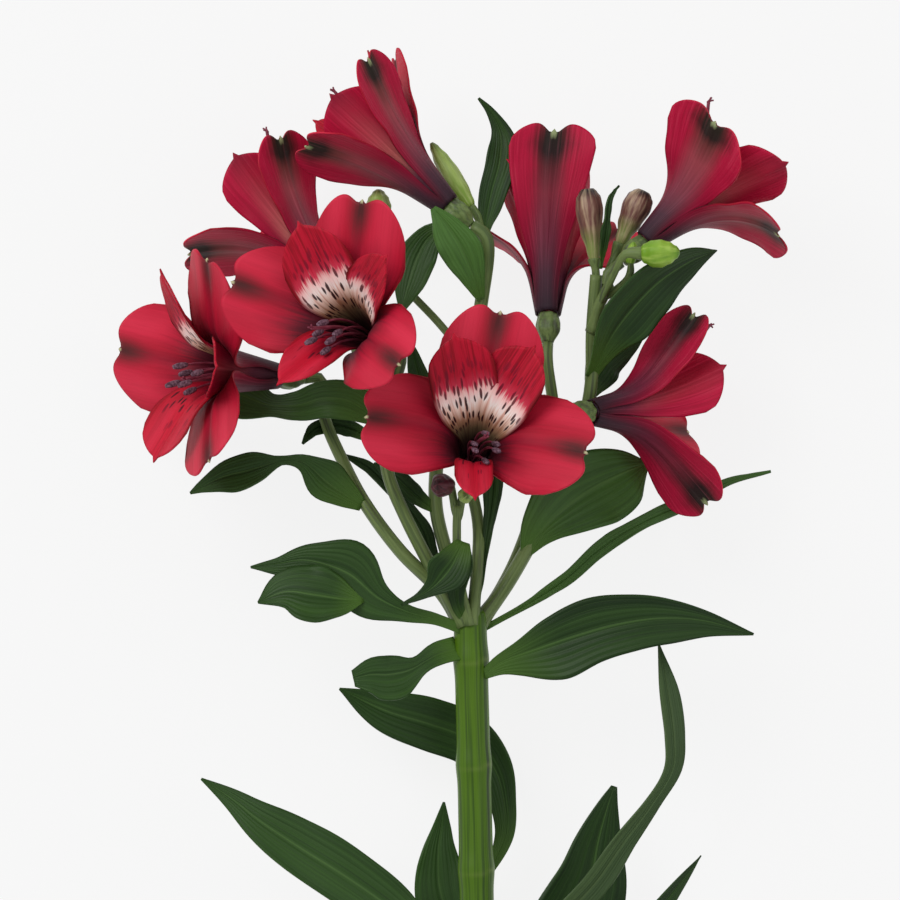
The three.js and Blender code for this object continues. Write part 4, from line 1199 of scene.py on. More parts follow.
BLOOMS = [
    Bloom(1, (-5, 110, -6), (-0.73, 0.68, -0.1), (0, 0, 1), 0.85, [
        funnel_outer(54, length=42.5, open=35, half_width=11.5, sway=-4),
        funnel_outer(-46, length=46, open=34, half_width=8, sway=3),
        funnel_outer(-122, length=45.5, open=41, half_width=9, sway=8),
        funnel_inner(0, length=41, open=14, half_width=9, shoulder=7),
        funnel_inner(-85, open=22),
        funnel_inner(150, open=20),
    ], style=(-35, 140, -6)),
    Bloom(2, (-35.5, 89.5, -9), (-0.6, 0.68, -0.42), (0, 0, 1), 0.8, [
        funnel_outer(-50, length=43, open=42, half_width=10.5, sway=2),
        funnel_outer(70, length=42, open=60, half_width=13.5, curl=10),
        funnel_outer(180, length=42, open=40, half_width=12),
        funnel_inner(-12, open=26, length=41.5, half_width=9, shoulder=8),
        funnel_inner(-115, open=46),
        funnel_inner(120, open=35),
    ], style=(-53.2, 130.5, -22)),
    Bloom(3, (-23, 73.5, 14), (-0.38, 0.25, 0.89), (0, 1, 0), 0.8, [
        outer(10),
        outer(-74, open=67),
        outer(124, open=40, curl=45, curls_from=0.45, half_width=12.8),
        inner(-23, length=45, half_width=9.4, shoulder=11),
        inner(43, open=46, half_width=7.4, sway=10),
        lower_inner(-150, open=56),
    ], lean=(-3, -7, 0)),
    Bloom(4, (-49.4, 66, -6), (-0.79, 0.08, 0.6), (0, 1, 0), 0.2, [
        outer(-84, length=50, open=77, half_width=14.8, sway=3),
        outer(26, open=66, half_width=14, sway=-4),
        outer(156, open=69, half_width=13.4, sway=-10),
        inner(-12, length=45, open=60, roll=24, half_width=8),
        inner(92, open=56),
        lower_inner(187, open=62, length=45, half_width=9.5, shoulder=8),
    ], lean=(0, -4, 0), style=(-73, 65, 12)),
    Bloom(5, (0.5, 42, 12), (0.03, 0.34, 0.94), (0, 1, 0), 0.2, [
        outer(12, length=51),
        outer(-70, length=47, open=66, sway=-16),
        outer(92, open=64, sway=15),
        inner(-14, open=54, length=44.5, half_width=8.8, shoulder=8),
        inner(37, open=60, length=45, half_width=8.6, shoulder=8),
        lower_inner(188, open=50, length=42, half_width=5, sway=-6, shoulder=8),
    ], lean=(3, -6, 0)),
    Bloom(6, (20.5, 81.5, -12.5), (0.02, 0.94, -0.35), (0, 0, 1), 0.25, [
        funnel_outer(14, length=50, open=21, half_width=11.6, sway=-17, shoulder=7),
        funnel_outer(112, length=38, open=60, half_width=12),
        funnel_outer(-110, length=36, open=46, opens_to=0.6, half_width=12, roll=-45),
        funnel_inner(58, open=28),
        funnel_inner(-62, length=42, open=12),
        funnel_inner(178, open=30),
    ]),
    Bloom(7, (45, 100.5, -3), (0.74, 0.65, -0.15), (0, 0, 1), 0.75, [
        funnel_outer(37, length=40, open=52, half_width=16, sway=-6, shoulder=11),
        funnel_outer(-68, length=40, open=74, half_width=13, sway=10, curl=20, shoulder=9),
        funnel_outer(170, length=42, open=42),
        funnel_inner(-27, length=42, open=38, half_width=9.5, shoulder=9),
        funnel_inner(110, length=39, open=30),
        funnel_inner(-130, length=36, open=28),
    ], style=(62, 137.5, -6)),
    Bloom(8, (30.5, 56.5, 4.9), (0.74, 0.03, -0.67), (0, 0, 1), 0.15, [
        funnel_outer(63, length=42, open=58, opens_to=0.6, half_width=9.5, sway=3),
        funnel_outer(-60, length=43, open=60, opens_to=0.6, half_width=11, sway=-3),
        funnel_outer(-152, length=50, open=12, half_width=13),
        funnel_inner(33, length=38, open=45, half_width=9.8, shoulder=9),
        funnel_inner(120, open=25),
        funnel_inner(-105, open=40),
    ], lean=(0, 6, -4), style=(62.5, 79.5, -12)),
]


# ---- Stem, stalks and buds ---------------------------------------------------------------


@dataclass(frozen=True)
class Stalk:
    """A flower stalk: the points that it follows, its end radii and the bloom it carries."""

    points: tuple[Point, ...]
    foot: float
    head: float
    bloom: int = 0


STALKS = [
    Stalk(((-1, 0, 0), (-8, 10.5, 2), (-18, 20.5, 4), (-27, 32.5, 3), (-33, 43.5, -3),
           (-38, 55, -9)), 1.9, 1.5, 4),
    Stalk(((-1, 0, 2), (-9, 14.5, 4), (-17, 30, 5), (-21.5, 41.5, 4), (-22.5, 55, 1)),
          1.8, 1.6, 3),
    Stalk(((-22, 48, 2), (-26, 62, -5), (-31, 78, -12)), 1.4, 1.4, 2),
    Stalk(((0, 0, -2), (-5.5, 18, -4), (-9, 34, -6), (-7, 52, -9), (0, 70.5, -10),
           (3, 86, -9)), 1.8, 1.8, 1),
    Stalk(((0, 0, 3), (-3, 15.5, 6), (-3.5, 26, 7), (-3.2, 34, 8)), 1.2, 1.1),
    Stalk(((0.5, 0, 2), (2, 18.5, 3), (2, 28, 0)), 1.6, 1.5, 5),
    Stalk(((1, 0, -1), (9, 11, -2), (15.5, 22, -4), (23.5, 36.5, -7), (29, 52, -6),
           (31.5, 64, -5), (31.8, 78, -4), (33, 94, -3)), 2, 1.6),
    Stalk(((1, 0, -3), (8, 10.5, -6), (13.5, 22, -9), (19, 39, -12), (22, 54, -11)),
          1.6, 1.5, 6),
    Stalk(((22.5, 34.5, -7), (19.5, 45, -3), (19.5, 52, 2)), 1.5, 1.4, 8),
    Stalk(((31.8, 76, -4), (33.5, 84, -2), (36, 89.5, -1)), 1.5, 1.4, 7),
]


@dataclass(frozen=True)
class Bud:
    """An unopened bud from its foot to its tip, with the stalk that carries it.

    A profile holds the shares of the way up and the shares of the radius there.
    """

    number: int
    foot: Point
    tip: Point
    radius: float
    stalk: tuple[Point, ...]
    finish: Finish
    slot: str

    PROFILE = ((0, 0.45), (0.1, 0.72), (0.3, 0.97), (0.5, 1.0), (0.72, 0.8), (0.88, 0.48),
               (1, 0.1))
    FULL_PROFILE = ((0, 0.36), (0.18, 0.52), (0.42, 0.8), (0.7, 1.0), (0.84, 0.92), (0.94, 0.62),
                    (1, 0.2))
    WRAP = 0.05
    RIB = 0.035
    SEAM = 0.7

    def girth(self, u: float, angle: float) -> float:
        """Returns the radius at a place: three wrapped petals with a rib each."""
        profile = self.FULL_PROFILE if self.finish is Finish.PINK_BUD else self.PROFILE
        for (a, ra), (b, rb) in zip(profile, profile[1:]):
            if u <= b:
                size = lerp(ra, rb, smoothstep(u, a, b))
                break
        wrap = self.WRAP * math.cos(3 * angle + 2 * u) + self.RIB * math.cos(6 * angle)
        return self.radius * size * (1 + wrap * smoothstep(u, 0.05, 0.4))

    def seam(self, u: float, angle: float) -> float:
        """Returns how near a place is to the line where two wrapped petals meet."""
        turn = (3 * angle + 2 * u + math.pi) / math.tau
        off = abs(turn - round(turn))
        return self.SEAM * hump(off, 0, 0.05) * smoothstep(u, 0.1, 0.4)

    def build(self) -> None:
        """Builds the bud."""
        piece = Piece(f"bud_{self.number}_petals", [self.finish])
        line = Curve([self.foot, Vector(self.foot).lerp(Vector(self.tip), 0.5), self.tip])
        piece.tube(Tube(line, self.girth, 30, 30), self.finish, self.number, self.seam)
        piece.finish(self.slot, f"bud_{self.number}")


BUDS = [
    Bud(1, (-24, 106, -14), (-24, 115.5, -15), 3.4, ((0, 70, -10), (-8, 80, -14), (-19, 92, -15)),
        Finish.GREEN_BUD, "bud_green"),
    Bud(2, (0.5, 110, -13), (-10.5, 128, -16), 2.6, ((2.8, 88, -9.5), (3.5, 98, -11)),
        Finish.GREEN_BUD, "bud_green"),
    Bud(3, (32.5, 95.5, -3), (30.5, 115.5, -3), 3.5, ((32.5, 86, -4),),
        Finish.PINK_BUD, "bud_pink"),
    Bud(4, (39, 100, -7), (45.5, 115, -8), 3.8, ((32, 84, -4),),
        Finish.PINK_BUD, "bud_pink"),
    Bud(5, (44, 97.5, 9), (54.5, 98, 10), 3.6, ((33.5, 84, -2), (37, 92, 5)),
        Finish.LIME_BUD, "bud_green"),
    Bud(6, (41.5, 95, 3), (42.5, 101, 3.5), 1.6, ((34, 85.5, -1.5),),
        Finish.LIME_BUD, "bud_green"),
    Bud(7, (-6, 37.5, 11), (-8.5, 38, 20), 3, ((-3.4, 28, 7),),
        Finish.MAROON_BUD, "bud_maroon"),
    Bud(8, (-1.5, 35, 12), (-0.8, 35.2, 18), 2, ((-3.3, 27, 7),),
        Finish.GREEN_BUD, "bud_green"),
]


@dataclass
class Stem:
    """The main stem with its leaf nodes, the flower stalks and the ribbed ovaries.

    The nodes swell by NODE_SHARE of the solids' swell, over NODE_LENGTH each way. Ridges are
    shares of the radius. A stalk flares by FLARE within about FLARE_LENGTH of its foot.
    """

    line: tuple[Point, ...] = ((2, -STEM_LENGTH, 0), (0.5, -200, 0), (2, -110, 0),
                               (1.5, -60, 0), (0, 0, 0), (0, STEM_TOP, 0))

    TOP_RADIUS = 2.6
    NODE_LENGTH = 3.2
    NODE_SHARE = 0.55
    RIDGE = 0.018
    FINE_RIDGE = 0.008
    FLARE = 0.7
    FLARE_LENGTH = 5
    RING_LENGTH = 1.6
    BUD_STALK_RADIUS = 1.05

    def height(self, u: float) -> float:
        """Returns the height of a share u along the main stem."""
        return lerp(-STEM_LENGTH, STEM_TOP, u)

    def stem_girth(self, u: float, angle: float) -> float:
        """Returns the main stem's radius, with its nodes and its low lengthwise ridges."""
        height = self.height(u)
        radius = lerp(STEM_CUT_RADIUS, STEM_RADIUS, (height + STEM_LENGTH) / STEM_LENGTH)
        swell = sum(hump(height, node, self.NODE_LENGTH) for node in LEAF_NODES)
        radius += NODE_SWELL * self.NODE_SHARE * swell
        ridge = self.RIDGE * math.cos(5 * angle + 0.01 * height)
        radius *= 1 + ridge + self.FINE_RIDGE * math.cos(9 * angle)
        return lerp(radius, self.TOP_RADIUS, smoothstep(height, 0, STEM_TOP))

    def node_mark(self, u: float, angle: float) -> float:
        """Returns how pale the skin is near a leaf node."""
        height = self.height(u) + 1.1 * math.cos(angle + 0.8)
        node = min(LEAF_NODES, key=lambda place: abs(place - height))
        side = 0.5 + 0.5 * math.cos(angle + 0.7 * node)
        return (0.05 + 0.3 * side) * hump(height, node, 0.5)

    def add_main(self, piece: Piece) -> None:
        """Adds the main stem, with its cut end flat across."""
        tube = Tube(Curve(self.line), self.stem_girth, STEM_RINGS, 28)
        piece.tube(tube, Finish.STEM_SKIN, 0.4, self.node_mark, Finish.CUT_FACE)

    def add_stalk(self, piece: Piece, stalk: Stalk, seed: float) -> None:
        """Adds a flower stalk, flared at its foot.

        Args:
            piece: The piece that it joins.
            stalk: The stalk.
            seed: The value that shifts its pattern.
        """
        points = list(stalk.points)
        if stalk.bloom:
            bloom = BLOOMS[stalk.bloom - 1]
            points += [bloom.on_axis(-OVARY_LENGTH - 6), bloom.on_axis(-OVARY_LENGTH + 1)]
        curve = Curve(points)

        def girth(u: float, angle: float) -> float:
            """Returns the stalk's radius with its low ridges."""
            flare = self.FLARE * hump(u * curve.length, 0, self.FLARE_LENGTH)
            radius = lerp(stalk.foot, stalk.head, u) + flare
            return radius * (1 + 0.05 * math.cos(3 * angle + 3 * u))

        rings = max(12, round(curve.length / self.RING_LENGTH))
        piece.tube(Tube(curve, girth, rings, 16), Finish.STALK_SKIN, seed)

    def add_bud_stalk(self, piece: Piece, bud: Bud) -> None:
        """Adds the stalk of a bud, which widens towards it."""
        back = (Vector(bud.foot) - Vector(bud.tip)).normalized()
        neck = [Vector(bud.foot) + back * gap for gap in (4, -1.6)]
        curve = Curve([*bud.stalk, *neck])

        def girth(u: float, angle: float) -> float:
            """Returns the bud stalk's radius."""
            foot = 0.55 + 0.45 * smoothstep(u, 0.0, 0.25)
            usual = self.BUD_STALK_RADIUS
            widening = (0.5 * bud.radius - usual) * smoothstep(u, 0.72, 0.95)
            return (usual * foot + widening) * (1 + 0.04 * math.cos(3 * angle))

        piece.tube(Tube(curve, girth, 26, 14), Finish.STALK_SKIN, bud.number)

    def add_ovary(self, piece: Piece, bloom: Bloom) -> None:
        """Adds a bloom's ovary and receptacle, with six rounded ribs."""
        curve = Curve([bloom.on_axis(-OVARY_LENGTH - 0.5), bloom.on_axis(-OVARY_LENGTH / 2),
                       bloom.on_axis(1.6)])

        def girth(u: float, angle: float) -> float:
            """Returns the ovary's radius."""
            size = lerp(1.5, OVARY_RADIUS, smoothstep(u, 0, 0.45))
            size = lerp(size, 2.7, smoothstep(u, 0.6, 0.85))
            size *= 1 - 0.5 * smoothstep(u, 0.85, 1) ** 2
            return size * (1 + 0.08 * math.cos(6 * angle) * smoothstep(u, 0, 0.25))

        piece.tube(Tube(curve, girth, 20, 36), Finish.STALK_SKIN, 5 + bloom.number)

    def build(self) -> None:
        """Builds the whole green axis."""
        piece = Piece("stem_skin", [Finish.STEM_SKIN, Finish.STALK_SKIN, Finish.CUT_FACE])
        self.add_main(piece)
        for i, stalk in enumerate(STALKS):
            self.add_stalk(piece, stalk, 0.31 * i)
        for bud in BUDS:
            self.add_bud_stalk(piece, bud)
        for bloom in BLOOMS:
            self.add_ovary(piece, bloom)
        piece.finish("stalk_green", "stem")


# ---- Leaves ------------------------------------------------------------------------------


@dataclass(frozen=True)
class Strip:
    """A blade along the points of its midrib, from its root to its tip.

    `turn` is how far it is turned about the midrib, in degrees: 0 faces the viewer and 90 shows
    its edge. `fold` is how far its halves fold up. `left` and `right` are its widths each side
    of the midrib at even steps; `right` is as `left` if it isn't given, and without both it is
    lance-shaped, ROOT of its half width wide at the root and widest at BELLY of its length.
    RIPPLE, CRINKLE, VEIN and KEEL are how high its relief is.
    """

    points: tuple[Point, ...]
    turn: tuple[float, ...]
    fold: float
    left: tuple[float, ...] = ()
    right: tuple[float, ...] = ()
    half_width: float = 0.0

    BELLY = 0.4
    ROOT = 0.25
    THINNEST = 0.12
    RIPPLE = 0.5
    CRINKLE = 0.35
    VEIN = 0.05
    KEEL = 0.35

    def width(self, t: float, v: float) -> float:
        """Returns the width of the half that v lies in, a share t of the way along."""
        sides = (self.right or self.left) if v < 0 else self.left
        if sides:
            return max(spline(sides, t), self.THINNEST)
        widening = lerp(self.ROOT, 1, smoothstep(t, 0, self.BELLY))
        narrowing = 1 - max(0.0, (t - self.BELLY) / (1 - self.BELLY)) ** 2
        return max(self.half_width * widening * narrowing, self.THINNEST)

    def surface(self, seed: float) -> Surface:
        """Gives the blade's surface.

        Args:
            seed: The value that sets its ripples apart from those of other leaves.

        Returns:
            The surface, from the share along, 0 to 1, and across, -1 to 1.
        """
        midrib = Curve(self.points)
        phase = RIPPLE_TURN * scatter(seed, 1)
        broadest = max([self.half_width, *self.left, *self.right])

        def point(t: float, v: float) -> Vector:
            """Returns the point at a share t along and v across."""
            tangent = midrib.tangent(t)
            flat = Vector((0, 0, 1)).cross(tangent).normalized()
            facing = tangent.cross(flat)
            angle = math.radians(spline(self.turn, min(max(t, 0.0), 1.0)))
            across = flat * math.cos(angle) + facing * math.sin(angle)
            width = self.width(t, v)
            size = width / broadest
            rise = math.radians(self.fold) * min(1.0, 1.4 * size)
            ripple = self.RIPPLE * v * v * math.sin(9 * t + 1.5 * v) * size
            ripple += self.CRINKLE * v**4 * math.sin(24 * t + phase + 2 * v) * size
            veins = self.VEIN * math.cos(v * math.pi * 6) * size * (1 - v * v)
            keel = -self.KEEL * hump(v, 0, 0.08) * size
            lift = (math.sqrt(v * v + 0.01) - 0.1) * width * math.sin(rise)
            lift += ripple + veins + keel
            return midrib.at(t) + across * (v * width * math.cos(rise)) + (
                tangent.cross(across) * lift)

        return point


@dataclass
class Leaf:
    """A leaf, with the lobe that curls over it if it has one.

    `young` is how much of the fresher green of a young leaf it has, 0 to 1. `under` is whether
    it shows its underside to the viewer.
    """

    number: int
    blade: Strip
    lobe: Strip | None = None
    young: float = 0.0
    under: bool = False

    COLUMNS = 20
    STEP = 1.3

    def build(self) -> None:
        """Builds the leaf."""
        slots = [Finish.LEAF_TOP, Finish.LEAF_UNDER, Finish.LEAF_TOP]
        piece = Piece(f"leaf_{self.number}_blade", slots, LEAF_THICKNESS)
        finish = Finish.LEAF_UNDER if self.under else Finish.LEAF_TOP
        for strip in (self.blade, self.lobe):
            if strip:
                rows = max(24, round(Curve(strip.points).length / self.STEP))
                piece.blade(strip.surface(self.number), rows, self.COLUMNS, finish,
                            scatter(self.number), flip=True, mark=self.young)
        piece.finish("leaf_green", f"leaf_{self.number}")


LEAVES = [
    Leaf(1, Strip(
        ((-3.1, 105, -7), (-9.9, 103, -9), (-13.5, 97.5, -9), (-16.1, 89.7, -8), (-17.9, 82.7, -7)),
        turn=(0, 10, 20), fold=12, left=(1, 3.6, 5.2, 4.4, 0.5),
        right=(1, 3.1, 5.2, 3.9, 0.5)), young=0.2),
    Leaf(2, Strip(
        ((2.9, 86.1, -7), (0.5, 93.1, -3), (-2.6, 100.1, 0), (-6.2, 105.6, 1), (-9.6, 109.7, 1)),
        turn=(10, 0, 0), fold=10, left=(1, 3.6, 5.7, 5.2, 0.8),
        right=(1, 3.1, 5.2, 3.6, 0.8)), young=0.75),
    Leaf(3, Strip(
        ((3.1, 95.9, -9), (3.9, 105.3, -12), (5.7, 114.4, -15), (7.8, 122.2, -17),
         (8.1, 129.5, -19), (5.7, 135.2, -19), (2.3, 139.4, -19)),
        turn=(30, 0, 0), fold=12, left=(0.8, 1, 2.9, 3.6, 3.4, 1.6, 0.3),
        right=(0.8, 1.3, 3.4, 4.4, 4.9, 2.1, 0.3))),
    Leaf(4, Strip(
        ((31.5, 66, -4), (38, 78, 1), (47.5, 89, 1), (56.5, 95.5, -3), (64.5, 99, -8)),
        turn=(40, 30, 30), fold=12, half_width=8)),
    Leaf(5, Strip(
        ((30.5, 59.5, -7), (35.5, 69.5, -13), (45.5, 76, -18)),
        turn=(30, 20, 20), fold=12, half_width=5)),
    Leaf(6, Strip(
        ((-23.9, 54.6, 2), (-30.7, 59.3, 4), (-37.7, 60.3, 4), (-44.7, 58.5, 1), (-52.8, 58.6, -7),
         (-60.3, 61.2, -11), (-67.1, 61.8, -11)),
        turn=(10, 0, 0), fold=6, left=(1.8, 5.2, 5.2, 3.9, 3.1, 6, 1),
        right=(1.8, 4.7, 4.4, 3.4, 3.2, 6.8, 1)), young=0.3),
    Leaf(7, Strip(
        ((-28, 32.4, 4), (-36.4, 38, 8), (-42.6, 43.4, 9), (-47.6, 44.2, 9), (-51.2, 43.4, 9),
         (-57.2, 41.6, 9), (-63.7, 40, 8), (-69.4, 37.4, 6), (-72.5, 35.6, 5)),
        turn=(0, 10, 10), fold=10, left=(1.6, 3.6, 5.2, 2.6, 1.3, 3.9, 5.2, 2.9, 0.3),
        right=(1.6, 4.2, 5.7, 2.3, 1.3, 4.4, 4.2, 2.3, 0.3)), young=0.15),
    Leaf(8, Strip(
        ((14, 19, -3), (18.5, 25.7, -2), (25, 31.7, -4), (32.5, 36.9, -9), (40.3, 40.8, -15),
         (46.8, 43.4, -22)),
        turn=(10, 0, 0), fold=8, left=(1, 7, 11.4, 9.9, 6.5, 0.5),
        right=(1, 4.7, 8.8, 10.9, 8.8, 0.8)), young=0.4),
    Leaf(9, Strip(
        ((3.1, 0, -2), (8.3, 2.9, -2), (16.4, 7.5, -1), (24.7, 13, 0), (33.3, 20.5, -3),
         (41.1, 25.7, -8), (48.1, 29.1, -13), (58, 33.3, -17), (68.4, 38.5, -19),
         (79.3, 41.1, -21)),
        turn=(20, 10, 10), fold=8, left=(0.8, 0.8, 1.6, 1.8, 2.3, 1.8, 2.3, 1.6, 1, 0.3),
        right=(0.8, 0.8, 1.3, 1.8, 2.1, 1.8, 1.8, 1.6, 0.8, 0.3)), young=0.45),
    Leaf(10, Strip(
        ((-2.1, 0.3, 3), (-8.8, 2.9, 5), (-16.1, 4.9, 6), (-23.9, 8.6, 6.5), (-31.7, 14.8, 6.5),
         (-42.1, 18.2, 6), (-50.4, 17.4, 5), (-56.9, 16.4, 4)),
        turn=(0, 0, 0), fold=6, left=(1.3, 1.6, 3.4, 7, 6.8, 3.6, 3.6, 0.3),
        right=(1.3, 1.6, 2.1, 4.7, 8.8, 5.2, 1.8, 0.3)), Strip(
        ((-27.6, 7.8, 6.9), (-33.3, 8.3, 8.8), (-40.6, 9.4, 9.6), (-47.8, 10.1, 8.8),
         (-54.9, 7.3, 7.6)),
        turn=(24, 24, 20), fold=8, left=(0.5, 5.7, 8.1, 4.7, 0.3),
        right=(0.5, 6.2, 8.1, 5.7, 0.3)), young=0.12),
    Leaf(11, Strip(
        ((-1, 2.1, 3), (-3.1, 6.2, 6), (-3.6, 11.4, 8), (-2.6, 17.2, 9.8), (-1.8, 22.6, 11.5)),
        turn=(0, 0, 0), fold=8, left=(1, 1.6, 2.6, 3.4, 1.8)), Strip(
        ((-1.8, 23.1, 11.8), (-3.1, 20, 13), (-5.2, 16.1, 13.4), (-8.8, 12, 12.4), (-13, 9.1, 11),
         (-17.9, 6.8, 10)),
        turn=(0, 0, 0), fold=14, left=(1.8, 4.2, 5.2, 2.3, 1, 0.3),
        right=(1.8, 4.4, 5.7, 2.6, 1, 0.3))),
    Leaf(12, Strip(
        ((-3.1, -4.9, 2), (-8.8, -6.5, 5), (-15.1, -9.9, 7), (-20.8, -11.2, 9),
         (-25.5, -11.2, 10.4), (-30.2, -12.2, 11)),
        turn=(20, 10, 0), fold=10, left=(3.1, 2.9, 2.9, 6.8, 6.2, 2.1),
        right=(3.6, 3.4, 2.6, 4.7, 4.7, 2.1)), young=0.15),
    Leaf(13, Strip(
        ((3.1, -12, 2), (8.3, -8.1, 4), (17.2, -4.7, 8), (27, -1.3, 10), (38.2, 1.8, 11),
         (49.4, 3.4, 10.5), (60.8, 2.6, 6.5), (73.6, -1, 2)),
        turn=(10, 0, 10), fold=8, left=(1, 3.1, 6.8, 8.6, 7, 4.4, 2.1, 0.3),
        right=(1, 5.5, 9.8, 8.4, 7.6, 6.5, 3.6, 0.3))),
    Leaf(14, Strip(
        ((3.9, -65, -2), (9.1, -54.1, -9), (8.8, -44.2, -12), (6, -35.9, -13), (-0.5, -28.9, -13),
         (-10.4, -25, -12), (-22.1, -21.3, -10), (-34.1, -15.6, -8)),
        turn=(0, 0, 10), fold=8, left=(0.8, 2.3, 3.9, 5.7, 7, 7, 5.2, 0.3),
        right=(0.8, 2.1, 3.1, 5.2, 6.8, 6.8, 4.7, 0.3)), young=0.1),
    Leaf(15, Strip(
        ((-1, -87.9, 2), (-8.3, -81.9, 7), (-20.8, -71.5, 9), (-32.5, -63.2, 10), (-44.2, -55.9, 9),
         (-54.1, -49.4, 8), (-61.9, -43.4, 6), (-69.7, -38.5, 4)),
        turn=(20, 10, 10), fold=10, left=(1, 3.6, 6.8, 7.5, 7.3, 6.2, 3.4, 0.3),
        right=(1, 3.1, 6.2, 7.5, 7.8, 6.5, 3.4, 0.3)), young=0.16),
    Leaf(16, Strip(
        ((0, -86.1, -3), (-4.7, -77, -8), (-7.8, -68.1, -9), (-8.3, -58.5, -9), (-7.5, -51.5, -9),
         (-6.8, -45.2, -8)),
        turn=(0, 0, 10), fold=10, left=(1, 4.7, 7, 5.7, 2.9, 0.3),
        right=(1, 3.6, 6.2, 6.2, 3.4, 0.3)), young=0.2),
    Leaf(17, Strip(
        ((3.9, -107.9, -1), (16.9, -92.3, -5), (26, -79, -7), (31.2, -67, -8), (33.4, -56, -8),
         (35.9, -46.5, -7.5), (37.7, -41, -7)),
        turn=(20, 10, 10), fold=10, left=(1.3, 7, 11, 12, 9.8, 5.6, 0.8))),
    Leaf(18, Strip(
        ((3.1, -88.9, 2), (18.2, -79, 4), (30.9, -67.1, 6), (39.5, -55.1, 8), (47.1, -44.7, 8.5),
         (52.3, -35.9, 8.5), (52.8, -27.3, 8), (51.5, -16.9, 5.5), (49.1, -3.9, 2)),
        turn=(30, 20, 20), fold=10, left=(1, 3.4, 3.6, 3.4, 3.1, 2.1, 2.9, 2.6, 0.3),
        right=(1, 3.4, 3.9, 3.6, 2.9, 2.1, 2.9, 2.9, 0.3)), under=True),
    Leaf(19, Strip(
        ((4, -130, 1), (20, -110, 5), (40, -84, 6), (60, -58.5, 2)),
        turn=(40, 30, 30), fold=12, half_width=5.5)),
    Leaf(20, Strip(
        ((-9.1, 45, -7), (-12, 60.1, -9), (-16.1, 76.4, -9)),
        turn=(0, 0), fold=10, left=(1.6, 3.4, 0.5))),
    Leaf(21, Strip(
        ((1, 3.1, 0), (2.9, 13, 0.6), (4.2, 23.1, 2), (5.5, 32, 1.5), (6.2, 40.6, -0.5),
         (6.5, 46.3, -3)),
        turn=(0, 0), fold=10, left=(0.5, 0.7, 0.9, 1.6, 2.6, 0.8))),
    Leaf(22, Strip(
        ((-1, -150, 1), (-12, -140, 5), (-30, -122, 7), (-46, -108, 4)),
        turn=(20, 10, 10), fold=12, half_width=7)),
    Leaf(23, Strip(
        ((3, -172, 1), (14, -160, 4), (32, -142, 6), (50, -128, 2)),
        turn=(20, 10, 10), fold=12, half_width=7)),
    Leaf(24, Strip(
        ((-1, -196, 1), (-12, -186, 4), (-28, -170, 6), (-42, -156, 3)),
        turn=(20, 10, 10), fold=12, half_width=6.5)),
    Leaf(25, Strip(
        ((2, -222, 1), (12, -210, 3), (26, -196, 4), (38, -184, 0)),
        turn=(20, 10, 10), fold=12, half_width=6)),
    Leaf(26, Strip(
        ((34, 94, -1.5), (35.2, 104, 2.2), (36.4, 112, 1.5), (38.8, 115.5, 0)),
        turn=(20, 40, 0), fold=12, half_width=1.3)),
    Leaf(27, Strip(
        ((-26, 49.9, -12.5), (-31.2, 52.3, -11.5), (-36.4, 53.3, -10.3), (-40.8, 52, -8.5),
         (-43.7, 48.4, -7)),
        turn=(20, 10, 0), fold=8, left=(1.3, 2.1, 2.1, 1.8, 0.3))),
    Leaf(28, Strip(
        ((-3.9, 4.7, -1), (-7.8, 10.9, -3.5), (-10.1, 19.2, -6), (-12.7, 26.8, -6.5),
         (-16.9, 32.5, -8), (-21.6, 37.4, -9), (-26.8, 42.4, -10), (-33, 45.5, -10)),
        turn=(20, 20, 20), fold=8, left=(0.8, 1.3, 1.8, 2.1, 1.8, 1.6, 1.6, 0.3))),
    Leaf(29, Strip(
        ((-8.6, 30.7, -5), (-14, 34.8, -5), (-19.2, 39.5, -6), (-25, 43.4, -8)),
        turn=(10, 10), fold=8, left=(0.8, 2.3, 2.6, 0.3))),
]


# ---- Studio ------------------------------------------------------------------------------


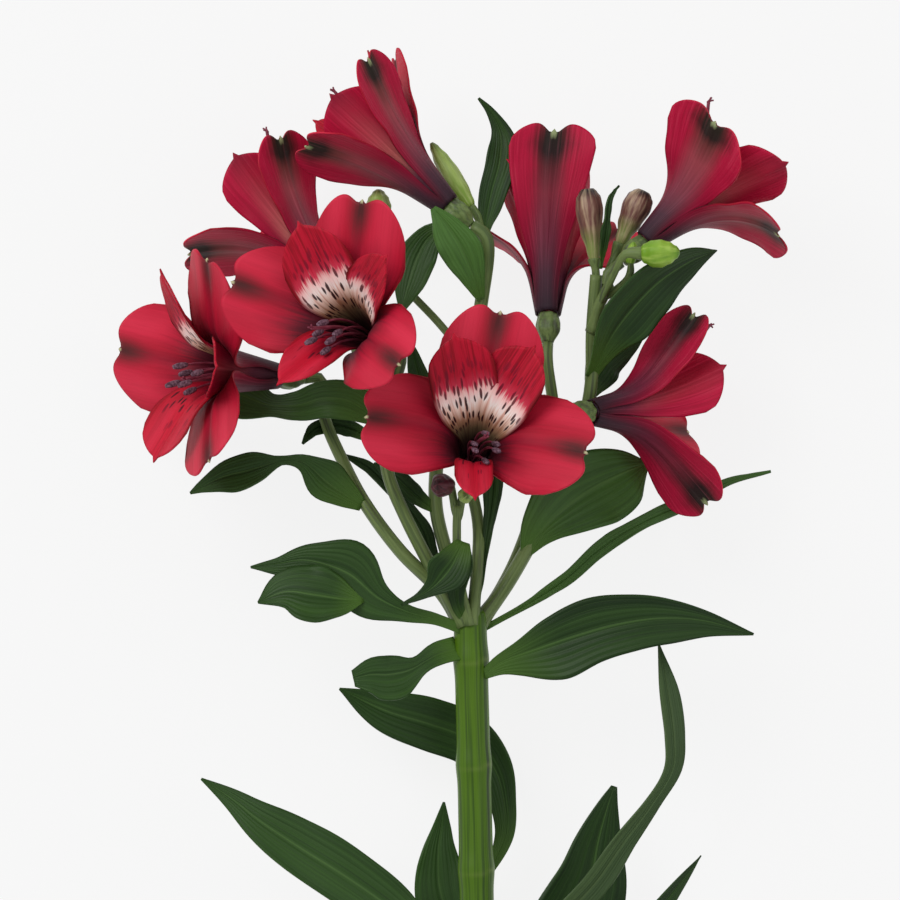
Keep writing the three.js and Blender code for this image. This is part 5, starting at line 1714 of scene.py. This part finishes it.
@dataclass
class Studio:
    """A pale floor, soft light and the camera that looks straight at the flowers.

    Places are in the plant's frame. `field_mm` is how much of it the picture shows, the sensor
    is in millimetres, and the floor's half side and the lamps' panels are in metres.
    """

    camera_at: Point = (-5.2, 46.8, 1600)
    lit_at: Point = (0, 40, 0)
    sky: float = 0.5
    field_mm: float = 234.0
    sensor: float = 36.0
    floor_size: float = 3.0
    lights: tuple[tuple[str, Point, float, float], ...] = (
        ("key", (-900, 900, 1300), 1.0, 17.0),
        ("fill", (1000, 200, 1200), 1.3, 4.0),
    )

    def add_floor(self) -> None:
        """Adds the floor under the stem."""
        mesh = bmesh.new()
        bmesh.ops.create_grid(mesh, x_segments=8, y_segments=8, size=self.floor_size)
        data = bpy.data.meshes.new("floor")
        mesh.to_mesh(data)
        mesh.free()
        floor = bpy.data.objects.new("floor", data)
        bpy.context.scene.collection.objects.link(floor)
        data.materials.append(Finish.FLOOR.material())

    def add_light(self, name: str, at: Point, size: float, power: float) -> None:
        """Adds one soft lamp that faces the flowers.

        Args:
            name: Its name.
            at: Its place in the plant's frame.
            size: The side of its panel in metres.
            power: Its power in watts.
        """
        data = bpy.data.lights.new(name, "AREA")
        data.size = size
        data.energy = power
        lamp = bpy.data.objects.new(name, data)
        lamp.location = PLANT_TO_ROW @ Vector(at)
        aim = PLANT_TO_ROW @ Vector(self.lit_at)
        lamp.rotation_euler = (aim - lamp.location).to_track_quat("-Z", "Y").to_euler()
        bpy.context.scene.collection.objects.link(lamp)

    def add_camera(self) -> None:
        """Adds the camera."""
        data = bpy.data.cameras.new("camera")
        data.sensor_width = self.sensor
        data.lens = self.sensor * self.camera_at[2] / self.field_mm
        camera = bpy.data.objects.new("camera", data)
        camera.location = PLANT_TO_ROW @ Vector(self.camera_at)
        camera.rotation_euler = (LIE_TILT, 0, 0)
        bpy.context.scene.collection.objects.link(camera)
        bpy.context.scene.camera = camera

    def build(self) -> None:
        """Builds the whole studio."""
        self.add_floor()
        for name, at, size, power in self.lights:
            self.add_light(name, at, size, power)
        self.add_camera()
        world = bpy.data.worlds.new("studio")
        world.use_nodes = True
        background = world.node_tree.nodes["Background"]
        background.inputs["Color"].default_value = srgb("#ffffff")
        background.inputs["Strength"].default_value = self.sky
        bpy.context.scene.world = world
        bpy.context.scene.view_settings.view_transform = "Standard"


def main() -> None:
    """Builds the stem, its leaves, buds and blooms, and the studio."""
    logging.basicConfig(level=logging.INFO, format="%(name)s: %(message)s")
    Stem().build()
    for bloom in BLOOMS:
        bloom.build()
    for bud in BUDS:
        bud.build()
    for leaf in LEAVES:
        leaf.build()
    Studio().build()


if __name__ == "__main__":
    main()
